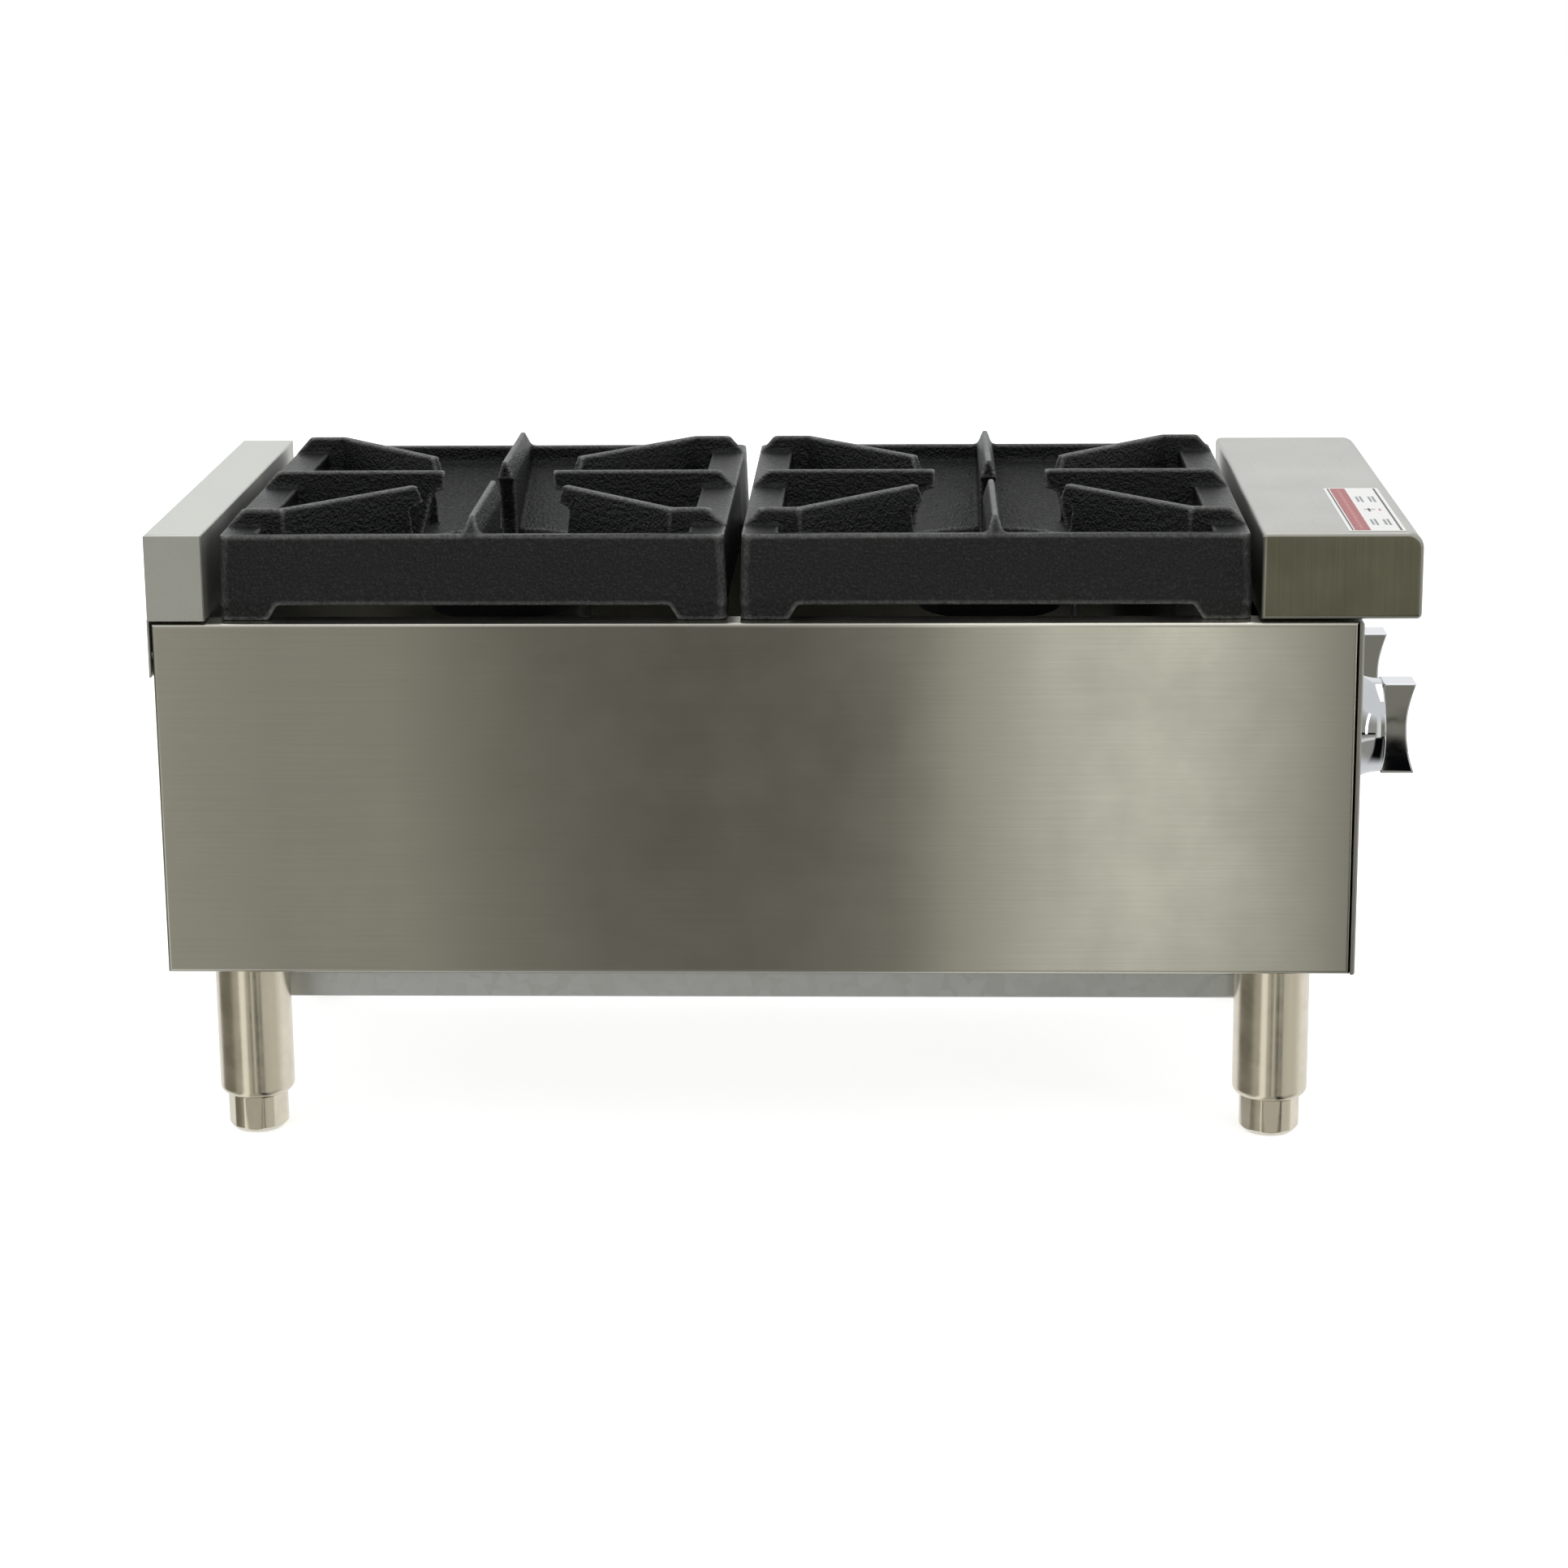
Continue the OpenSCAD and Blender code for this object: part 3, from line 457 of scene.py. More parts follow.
def round_edges(bm, geom, radius, segments, affect="EDGES"):
    """Rounds edges, or the corners of a line of edges, to a radius."""
    bmesh.ops.bevel(
        bm,
        geom=geom,
        offset=radius,
        offset_type="OFFSET",
        segments=segments,
        profile=0.5,
        affect=affect,
        material=-1,
        clamp_overlap=True,
    )


def pull(bm, made, distance):
    """Moves the vertices that an extrusion made along Y."""
    moved = [g for g in made["geom"] if isinstance(g, bmesh.types.BMVert)]
    bmesh.ops.translate(bm, vec=(0, distance, 0), verts=moved)


def chain(bm, points, corner=0.0, segments=4):
    """Adds a line of edges through points, with its inner corners rounded."""
    verts = [bm.verts.new(p) for p in points]
    for pair in zip(verts, verts[1:]):
        bm.edges.new(pair)
    if corner:
        round_edges(bm, verts[1:-1], corner, segments, "VERTICES")


def turn(bm, centre, axis, steps=72):
    """Spins a line of edges right round an axis and closes the seam and the poles."""
    bmesh.ops.spin(
        bm,
        geom=bm.verts[:] + bm.edges[:],
        cent=centre,
        axis=axis,
        dvec=(0, 0, 0),
        angle=math.tau,
        steps=steps,
        use_merge=True,
        use_duplicate=False,
    )
    bmesh.ops.remove_doubles(bm, verts=bm.verts, dist=0.01 * MM)
    bmesh.ops.recalc_face_normals(bm, faces=bm.faces)


def mark_grain(bm, across):
    """Writes the grain map: its U runs across the brushing. across(normal) gives that direction."""
    layer = bm.loops.layers.uv.new("grain")
    bm.normal_update()
    for face in bm.faces:
        u = across(face.normal)
        v = face.normal.cross(u)
        for loop in face.loops:
            loop[layer].uv = (loop.vert.co.dot(u), loop.vert.co.dot(v))


def placed_object(name, bm):
    """A new object at the origin that holds the bmesh."""
    mesh = bpy.data.meshes.new(name)
    bm.to_mesh(mesh)
    bm.free()
    made = bpy.data.objects.new(name, mesh)
    bpy.context.scene.collection.objects.link(made)
    return made


def add_modifier(piece, kind, settings):
    """Adds a modifier with its settings."""
    modifier = piece.modifiers.new(kind.title(), kind)
    for key, value in settings.items():
        setattr(modifier, key, value)


EVEN_SHADING = ("WEIGHTED_NORMAL", {"keep_sharp": True, "weight": 50})


def finished(name, bm, body, slot, replaced, materials=(), crease=32, modifiers=(EVEN_SHADING,)):
    """Turns a bmesh into a shaded piece that rides on its body and stands for its CAD nodes.
    The crease is the angle in degrees from which an edge stays sharp."""
    bm.normal_update()
    for face in bm.faces:
        face.smooth = True
    for edge in bm.edges:
        edge.smooth = edge.is_manifold and edge.calc_face_angle(0) < math.radians(crease)
    piece = placed_object(name, bm)
    mesh = piece.data
    for entry in materials or (SLOT_MATERIALS[slot],):
        mesh.materials.append(material(entry))
    for kind, settings in modifiers:
        add_modifier(piece, kind, settings)
    if not len(mesh.polygons):
        raise RuntimeError(f"{name} has no faces")
    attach(piece, body)
    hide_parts(*replaced)


def wall(thickness, offset):
    """Solidify settings: the wall lies inside the shell at offset -1, half on each side at 0."""
    return ("SOLIDIFY", {"thickness": thickness, "offset": offset, "use_even_offset": True})


# ---------------------------------------------------------------- sheet metal


class HOTPLATE_OT_side_panels(bpy.types.Operator):
    """Make the two folded side panels"""

    bl_idname = "hotplate.side_panels"
    bl_label = "Side panels"

    def execute(self, context):
        sizes = context.scene.hot_plate_sheet
        flush = 0.12 * MM  # keeps the rear flange just inside its flush screw heads
        for name, side in (("left_side_panel", -1), ("right_side_panel", 1)):
            low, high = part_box(name)
            high.y -= flush
            bm = box_mesh(low, high)
            inner = [f for f in bm.faces if f.normal.x * side < -0.5]
            bmesh.ops.delete(bm, geom=inner, context="FACES")
            outer_x = low.x if side < 0 else high.x
            rim = edges_at(bm, lambda co: abs(co.x - outer_x) < MM)
            round_edges(bm, rim, sizes.panel_bend, 5)
            mark_grain(bm, lambda n: Z if abs(n.x) > 0.7 or abs(n.y) > 0.7 else X)
            walled = [wall(sizes.sheet, -1.0), EVEN_SHADING]
            looks = ["stainless_sides"]
            sheet = f"{name}_sheet"
            finished(sheet, bm, "chassis", "brushed_stainless", [name], looks, modifiers=walled)
        return {"FINISHED"}


class HOTPLATE_OT_control_panel(bpy.types.Operator):
    """Make the front sheet behind the knobs"""

    bl_idname = "hotplate.control_panel"
    bl_label = "Control panel"

    def execute(self, context):
        sizes = context.scene.hot_plate_sheet
        low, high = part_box("control_panel")
        gap, fold = 0.3 * MM, 1.5 * MM
        y_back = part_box("left_side_panel")[0].y - gap
        bm = box_mesh(low, (high.x, y_back, high.z))
        bmesh.ops.delete(bm, geom=[f for f in bm.faces if f.normal.y > 0.5], context="FACES")
        round_edges(bm, edges_at(bm, lambda co: co.y < low.y + MM), fold, 4)
        x_flange = high.x - 20 * MM
        for z0, z1, depth in (
            (low.z, low.z + sizes.sheet, 20 * MM),
            (high.z - sizes.sheet, high.z, 14 * MM),
        ):
            corner = (-x_flange, low.y + 1.4 * MM, z0)
            verts = add_box(bm, corner, (x_flange, low.y + depth, z1))
            long_edges = [e for e in edges_of(verts) if e.calc_length() > 50 * MM]
            round_edges(bm, long_edges, 0.4 * MM, 2)
        mark_grain(bm, lambda n: Z if abs(n.y) > 0.7 or abs(n.x) > 0.7 else Y)
        node, looks = ["control_panel"], ["stainless_crosswise"]
        finished("control_panel_sheet", bm, "chassis", "brushed_stainless", node, looks)
        return {"FINISHED"}


class HOTPLATE_OT_front_ledge(bpy.types.Operator):
    """Make the bullnose ledge with its closed ends"""

    bl_idname = "hotplate.front_ledge"
    bl_label = "Front ledge"

    def execute(self, context):
        sizes = context.scene.hot_plate_sheet
        low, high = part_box("front_ledge")
        bm = box_mesh(low, high)
        for y, z, radius, segments in (
            (low.y, high.z, sizes.ledge_nose, 10),
            (high.y, high.z, sizes.ledge_fold, 5),
            (low.y, low.z, sizes.ledge_fold, 5),
        ):
            long_edge = edges_at(bm, lambda co: abs(co.y - y) < MM and abs(co.z - z) < MM)
            round_edges(bm, long_edge, radius, segments)
        for x in (low.x, high.x):
            round_edges(bm, edges_at(bm, lambda co: abs(co.x - x) < MM), sizes.ledge_end, 5)
        # The end faces get the darker copy of the steel, a painted shade
        for face in bm.faces:
            face.material_index = 1 if abs(face.normal.x) > 0.9 else 0
        mark_grain(bm, lambda n: Y if abs(n.x) > 0.7 or abs(n.z) > 0.7 else Z)
        node, looks = ["front_ledge"], ["stainless_crosswise", "stainless_ends"]
        finished("front_ledge_sheet", bm, "chassis", "brushed_stainless", node, looks)
        return {"FINISHED"}


class HOTPLATE_OT_rear_trim(bpy.types.Operator):
    """Make the rear trim cover with its flange and its fitted end caps"""

    bl_idname = "hotplate.rear_trim"
    bl_label = "Rear trim"

    def execute(self, context):
        sizes = context.scene.hot_plate_sheet
        low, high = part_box("rear_trim")
        cover, cap, seam = 48.5 * MM, 1.5 * MM, 0.25 * MM
        z_cover = high.z - cover
        bm = bmesh.new()
        add_box(bm, (low.x + cap + seam, low.y, z_cover), (high.x - cap - seam, high.y, high.z))
        round_edges(bm, edges_at(bm, lambda co: co.z > high.z - MM), sizes.trim_fold, 4)
        for x0, x1 in ((low.x, low.x + cap), (high.x - cap, high.x)):
            verts = add_box(bm, (x0, low.y + seam, z_cover), (x1, high.y - seam, high.z - seam))
            round_edges(bm, edges_of(verts), 0.5 * MM, 3)
        flange = add_box(bm, (low.x, high.y - sizes.sheet, low.z), (high.x, high.y, z_cover + MM))
        long_edges = [e for e in edges_of(flange) if e.calc_length() > 5 * MM]
        round_edges(bm, long_edges, 0.4 * MM, 2)
        finished("rear_trim_cover", bm, "chassis", "satin_aluminium", ["rear_trim"])
        return {"FINISHED"}


STICKER_LOOKS = ["sticker_white", "sticker_band", "sticker_pale", "sticker_black", "sticker_grey"]
BAND, PALE, BLACK, GREY = 1, 2, 3, 4


class HOTPLATE_OT_sticker(bpy.types.Operator):
    """Make the plain sticker on the ledge, with bars in place of print"""

    bl_idname = "hotplate.sticker"
    bl_label = "Sticker"

    def execute(self, context):
        low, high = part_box("instruction_label")
        film, ink, sunk = 0.16 * MM, 0.22 * MM, 0.05 * MM
        bm = box_mesh(low, (high.x, high.y, low.z + film))
        round_edges(bm, upright_edges(bm, 0.1 * MM), 1.2 * MM, 4)

        def ink_bar(x0, x1, y0, y1, index):
            """A printed bar, in millimetres from the sticker's low corner, pale ink on top."""
            verts = add_box(
                bm,
                (low.x + x0 * MM, low.y + y0 * MM, low.z + film - sunk),
                (low.x + x1 * MM, low.y + y1 * MM, low.z + ink + (sunk if index == PALE else 0)),
            )
            for face in {f for v in verts for f in v.link_faces}:
                face.material_index = index

        wide, deep = (high.x - low.x) / MM, (high.y - low.y) / MM
        margin = 1.8
        ink_bar(margin, wide - margin, deep - margin - 0.9, deep - margin, BLACK)
        ink_bar(margin, wide - margin, margin, margin + 1.2, BLACK)
        ink_bar(margin, wide - margin, deep - 12, deep - 3.4, BAND)
        dashes = 22
        for step in range(dashes):
            x0 = 6 + step * (wide - 12) / dashes
            ink_bar(x0, x0 + 3.1, deep - 8.6, deep - 6.8, PALE)
        for group in (0.2, 0.73):
            for row, y0 in enumerate((5.6, 7.8, 12.6, 14.8)):
                indent = row % 2
                x0 = group * wide - 9 + indent
                ink_bar(x0, x0 + 17 - 2 * indent, y0, y0 + 1.3, GREY)
        middle = wide * 0.47
        ink_bar(middle - 4, middle + 5, 12.2, 13.4, BLACK)
        ink_bar(middle + 1.2, middle + 2.8, 9.2, 15.6, GREY)
        ink_bar(middle - 1.5, middle + 3.5, 6.2, 7.4, PALE)
        node = ["instruction_label"]
        name = "instruction_sticker"
        finished(name, bm, "chassis", "printed_label", node, STICKER_LOOKS, modifiers=())
        return {"FINISHED"}


class HOTPLATE_OT_tray_runners(bpy.types.Operator):
    """Make the two tray runners, folded with a joggle at mid-height"""

    bl_idname = "hotplate.tray_runners"
    bl_label = "Tray runners"

    def execute(self, context):
        sizes = context.scene.hot_plate_sheet
        half = sizes.sheet / 2
        flange, joggle, slope, shelf = 12 * MM, 2 * MM, 1.2 * MM, 15.4 * MM
        for name, side in (("left_tray_runner", -1), ("right_tray_runner", 1)):
            low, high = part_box(name)
            outer = max(abs(low.x), abs(high.x))
            x_web = outer - flange - half
            x_low = x_web + joggle
            z_mid = (low.z + high.z) / 2
            points = [
                (outer, high.z - half),
                (x_web, high.z - half),
                (x_web, z_mid + slope),
                (x_low, z_mid - slope),
                (x_low, low.z + half),
                (x_low - shelf, low.z + half),
            ]
            bm = bmesh.new()
            spots = [(side * x, low.y, z) for x, z in points]
            chain(bm, spots, sizes.runner_bend, 3)
            pull(bm, bmesh.ops.extrude_edge_only(bm, edges=list(bm.edges)), high.y - low.y)
            bmesh.ops.recalc_face_normals(bm, faces=bm.faces)
            walled = [wall(sizes.sheet, 0.0), EVEN_SHADING]
            sheet = f"{name}_sheet"
            finished(sheet, bm, "chassis", "galvanised_sheet", [name], modifiers=walled)
        return {"FINISHED"}


# ---------------------------------------------------------------- cast iron


def merged(bm, part):
    """Moves everything of one bmesh into another and returns its new edges."""
    mesh = bpy.data.meshes.new("part")
    part.to_mesh(mesh)
    part.free()
    count = len(bm.edges)
    bm.from_mesh(mesh)
    bpy.data.meshes.remove(mesh)
    bm.edges.ensure_lookup_table()
    return bm.edges[count:]


def rectangle_loop(bm, half_x, half_y, z, radius):
    """Adds a rounded rectangle of 64 edges about the origin and returns them."""
    part = bmesh.new()
    verts = bmesh.ops.create_grid(part, x_segments=1, y_segments=1, size=1)["verts"]
    bmesh.ops.scale(part, vec=(half_x, half_y, 1), verts=verts)
    bmesh.ops.translate(part, vec=(0, 0, z), verts=verts)
    round_edges(part, verts, radius, 6, "VERTICES")
    bmesh.ops.delete(part, geom=part.faces[:], context="FACES_ONLY")
    sides = [e for e in part.edges if e.calc_length() > 2 * radius]
    bmesh.ops.subdivide_edges(part, edges=sides, cuts=9)
    return merged(bm, part)


def circle_loop(bm, radius, z):
    """Adds a circle of 64 edges about the origin and returns them."""
    verts = bmesh.ops.create_circle(bm, segments=64, radius=radius)["verts"]
    bmesh.ops.translate(bm, vec=(0, 0, z), verts=verts)
    return edges_of(verts)


def closed_ring(bm, loops):
    """Bridges each loop to the next and the last to the first."""
    for first, second in zip(loops, loops[1:] + loops[:1]):
        bmesh.ops.bridge_loops(bm, edges=first + second)


def finger_prism(bm, outline, half_width, angle=0.0, offset=(0, 0, 0)):
    """Adds an upright web: its side outline over reach and height, its half width by height."""
    part = bmesh.new()
    part.faces.new([part.verts.new((reach, -MM, z)) for reach, z in outline])
    pull(part, bmesh.ops.extrude_face_region(part, geom=part.faces[:]), 2 * MM)
    top = max(z for _, z in outline)
    for drop in (6 * MM, 11 * MM):
        bmesh.ops.bisect_plane(
            part,
            geom=part.verts[:] + part.edges[:] + part.faces[:],
            dist=0.01 * MM,
            plane_co=(0, 0, top - drop),
            plane_no=(0, 0, 1),
        )
    for vert in part.verts:
        vert.co.y = math.copysign(half_width(vert.co.z), vert.co.y)
    placed = Matrix.Translation(offset) @ Matrix.Rotation(angle, 4, "Z")
    bmesh.ops.transform(part, matrix=placed, verts=part.verts)
    bmesh.ops.recalc_face_normals(part, faces=part.faces)
    merged(bm, part)


def corner_foot(bm, sizes, half_x, half_y, z_foot, z_skirt, side_x, side_y):
    """Adds the block under one corner of a grate, sloped towards the middle."""
    inset, reach, slope = 0.3 * MM, 27 * MM, 6 * MM
    low = (half_x - reach, half_y - reach, z_foot)
    part = box_mesh(low, (half_x - inset, half_y - inset, z_skirt + MM))
    for vert in part.verts:
        if vert.co.z > z_foot + MM:
            for axis, limit in ((0, half_x), (1, half_y)):
                if vert.co[axis] < limit - reach / 2:
                    vert.co[axis] -= slope
    outer = edges_at(part, lambda co: co.x > half_x - MM and co.y > half_y - MM)
    round_edges(part, outer, sizes.corner, 5)
    bmesh.ops.scale(part, vec=(side_x, side_y, 1), verts=part.verts)
    bmesh.ops.recalc_face_normals(part, faces=part.faces)
    merged(bm, part)


def applied(piece, kind, settings):
    """Gives the piece the mesh that one modifier makes of its own."""
    add_modifier(piece, kind, settings)
    graph = bpy.context.evaluated_depsgraph_get()
    graph.update()
    old = piece.data
    piece.data = bpy.data.meshes.new_from_object(piece.evaluated_get(graph))
    piece.modifiers.clear()
    bpy.data.meshes.remove(old)


def grate_solids(sizes, low, high):
    """The grate as overlapping closed solids about its own centre."""
    half_x, half_y = (high.x - low.x) / 2, (high.y - low.y) / 2
    z_foot, z_top = low.z, high.z
    z_rim, z_skirt = z_top - 10 * MM, z_foot + 8.5 * MM
    z_bowl_edge, z_bowl_hole = z_rim - 9.5 * MM, z_rim - 36 * MM
    hole = 56 * MM  # radius of the opening over the burner
    inner_x = half_x - sizes.draft - sizes.rim
    inner_y = half_y - sizes.draft - sizes.pad
    bm = bmesh.new()
    walls = [
        (half_x, half_y, z_skirt, sizes.corner),
        (half_x - sizes.draft, half_y - sizes.draft, z_rim, sizes.corner),
        (inner_x, inner_y, z_rim, 4 * MM),
        (inner_x, inner_y, z_rim - 10 * MM, 4 * MM),
        (half_x - sizes.wall, half_y - sizes.wall, z_rim - 11 * MM, 3 * MM),
        (half_x - sizes.wall, half_y - sizes.wall, z_skirt, 3 * MM),
    ]
    closed_ring(bm, [rectangle_loop(bm, x, y, z, r) for x, y, z, r in walls])
    bowl_x, bowl_y = inner_x + 1.5 * MM, inner_y + 2 * MM
    bowl = [
        rectangle_loop(bm, bowl_x, bowl_y, z_bowl_edge, 6 * MM),
        circle_loop(bm, hole, z_bowl_hole),
        circle_loop(bm, hole, z_bowl_hole - sizes.iron),
        rectangle_loop(bm, bowl_x, bowl_y, z_bowl_edge - sizes.iron, 6 * MM),
    ]
    closed_ring(bm, bowl)

    def bowl_middle(reach):
        """Height inside the bowl's iron at a distance from the centre."""
        share = (reach - hole) / (inner_y - hole)
        return z_bowl_hole - sizes.iron / 2 + (z_bowl_edge - z_bowl_hole) * share

    def finger_outline(outer, tip, web, foot, nose):
        """Side outline of a finger that runs in from its outer end to the tip of its flat top.
        Its nose slopes back under the tip, and its web runs down to its foot by the opening."""
        outline = [
            (outer, min(bowl_middle(outer) / MM, z_rim / MM - 12) - 3),
            (outer, z_rim / MM),
            (outer - 9 * MM, z_top / MM),
            (tip, z_top / MM),
            (tip - nose, z_top / MM - 11),
            (web, z_top / MM - 13),
            (foot - 2 * MM, z_bowl_hole / MM + 10),
            (foot, z_bowl_hole / MM - 4),
            (max(foot, hole) + 2 * MM, z_bowl_hole / MM - 4),
        ]
        return [(reach, z * MM) for reach, z in outline]

    def blunt(z):
        """Half width of a flat-topped finger."""
        return sizes.finger_top / 2 + min(3 * MM, (z_top - z) * 0.065)

    def sharp(z):
        """Half width of a side finger, a ridge that flares out at the rim."""
        return sizes.spike_top / 2 + min(3.6 * MM, max(0, z_top - z) * 0.33)

    sunk = 0.2 * MM  # keeps the fingers' outer ends inside the walls
    turn_x, turn_y = 116 * MM, 109 * MM  # where each corner finger meets its boss
    wall_y = half_y - sizes.draft - sunk
    for side_x in (-1, 1):
        outline = finger_outline(half_x - sizes.draft - sunk, 30 * MM, 37 * MM, 47 * MM, 0)
        finger_prism(bm, outline, sharp, 0 if side_x > 0 else math.pi)
        outline = finger_outline(wall_y, 32 * MM, 39 * MM, 47 * MM, 0)
        finger_prism(bm, outline, blunt, side_x * math.pi / 2)
        for side_y in (-1, 1):
            angle = math.atan2(side_y * turn_y, side_x * turn_x)
            reach = math.hypot(turn_x, turn_y)
            outline = finger_outline(reach + 1.5 * MM, 64 * MM, 70 * MM, 70 * MM, 5 * MM)
            outline[1] = (outline[1][0], z_rim)
            outline[2] = (reach + 1.4 * MM, z_top)
            finger_prism(bm, outline, blunt, angle)
            boss = [
                (wall_y, z_rim - 6 * MM),
                (wall_y, z_rim),
                (wall_y - 9 * MM, z_top),
                (turn_y - 1.5 * MM, z_top),
                (turn_y - 1.5 * MM, z_rim - 1 * MM),
                (turn_y - 1.5 * MM, z_bowl_edge - 4 * MM),
            ]
            finger_prism(bm, boss, blunt, side_y * math.pi / 2, (side_x * turn_x, 0, 0))
            corner_foot(bm, sizes, half_x, half_y, z_foot, z_skirt, side_x, side_y)
    return bm


GRATE_TRIANGLES = 180000  # the most that a grate keeps
GRATE_GRID, QUICK_GRID = 1.2 * MM, 2.4 * MM  # the grids that its solids are fused on


class HOTPLATE_OT_grates(bpy.types.Operator):
    """Make the two cast-iron grates, their solids fused to one softened casting"""

    bl_idname = "hotplate.grates"
    bl_label = "Grates"

    def execute(self, context):
        sizes = context.scene.hot_plate_grates
        low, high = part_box("front_grate")
        bm = grate_solids(sizes, low, high)
        casting = placed_object("grate_casting", bm)
        grid = GRATE_GRID
        applied(casting, "REMESH", {"mode": "VOXEL", "voxel_size": grid, "adaptivity": 0})
        bm = bmesh.new()
        bm.from_mesh(casting.data)
        for _ in range(2):
            bmesh.ops.smooth_vert(
                bm, verts=bm.verts, factor=0.5, use_axis_x=True, use_axis_y=True, use_axis_z=True
            )
        bm.to_mesh(casting.data)
        bm.free()
        triangles = sum(len(p.vertices) - 2 for p in casting.data.polygons)
        ratio = min(1.0, GRATE_TRIANGLES / triangles)
        applied(casting, "DECIMATE", {"ratio": ratio, "decimate_type": "COLLAPSE"})
        for name in ("front_grate", "rear_grate"):
            low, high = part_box(name)
            bm = bmesh.new()
            bm.from_mesh(casting.data)
            middle = (low + high) / 2
            bmesh.ops.translate(bm, vec=(middle.x, middle.y, 0), verts=bm.verts)
            cast = f"{name}_casting"
            finished(cast, bm, name, "black_cast_iron", [name], crease=80, modifiers=())
        mesh = casting.data
        bpy.data.objects.remove(casting)
        bpy.data.meshes.remove(mesh)
        return {"FINISHED"}


class HOTPLATE_OT_burner_heads(bpy.types.Operator):
    """Make the two burner heads: a stepped cap with ports round its edge"""

    bl_idname = "hotplate.burner_heads"
    bl_label = "Burner heads"

    def execute(self, context):
        for name in ("front_burner_head", "rear_burner_head"):
            low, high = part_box(name)
            middle = (low + high) / 2
            outer = (high.x - low.x) / 2
            z_cap = high.z - 11 * MM
            points = [
                (0, high.z - 1.5 * MM),
                (outer - 26 * MM, high.z - 1.5 * MM),
                (outer - 22 * MM, high.z),
                (outer - 7 * MM, high.z),
                (outer, high.z - 4 * MM),
                (outer, z_cap),
                (outer - 5.2 * MM, z_cap),
                (outer - 5.2 * MM, low.z),
                (outer - 9 * MM, low.z),
                (outer - 9 * MM, z_cap + 4 * MM),
                (0, z_cap + 4 * MM),
            ]
            bm = bmesh.new()
            spots = [(middle.x + r, middle.y, z) for r, z in points]
            chain(bm, spots, 0.9 * MM, 3)
            turn(bm, middle, Z, 96)
            finished(f"{name}_casting", bm, name, "grey_cast_iron", [name])
        return {"FINISHED"}


# ---------------------------------------------------------------- knobs and legs


class HOTPLATE_OT_knobs(bpy.types.Operator):
    """Make the two chrome knobs: a flared round skirt with a hollowed grip bar"""

    bl_idname = "hotplate.knobs"
    bl_label = "Knobs"

    def execute(self, context):
        sizes = context.scene.hot_plate_controls
        grip_reach, steps = 19 * MM, 14
        for name in ("left_knob", "right_knob"):
            low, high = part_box(name)
            middle = (low + high) / 2
            skirt = (high.x - low.x) / 2
            y_face = low.y + grip_reach
            flare = high.y - y_face
            outline = [
                (sizes.face / 2 + (skirt - sizes.face / 2) * (1 - i / steps) ** 2.2, i / steps)
                for i in range(steps + 1)
            ]
            profile = [(middle.x, high.y, middle.z)]
            profile += [(middle.x, high.y - t * flare, middle.z + r) for r, t in outline]
            profile += [(middle.x, y_face, middle.z)]
            bm = bmesh.new()
            chain(bm, profile)
            turn(bm, middle, Y, 96)
            right_angled = [e for e in bm.edges if e.calc_face_angle(0) > math.radians(50)]
            round_edges(bm, right_angled, 0.9 * MM, 4)
            half_t, half_h = sizes.grip_thickness / 2, sizes.grip_height / 2
            grip = box_mesh(
                (middle.x - half_t, low.y, middle.z - half_h),
                (middle.x + half_t, y_face + 0.5 * MM, middle.z + half_h),
            )
            upright = upright_edges(grip, MM)
            bmesh.ops.subdivide_edges(grip, edges=upright, cuts=23, use_grid_fill=True)
            for vert in grip.verts:
                if vert.co.y < low.y + MM:
                    share = (vert.co.z - middle.z) / half_h
                    vert.co.y += sizes.grip_hollow * (1 - share * share)
            grip.normal_update()
            sharp = [e for e in grip.edges if e.calc_face_angle(0) > math.radians(45)]
            round_edges(grip, sharp, 1.1 * MM, 4)
            merged(bm, grip)
            finished(f"{name}_chrome", bm, name, "chrome", [name])
        return {"FINISHED"}


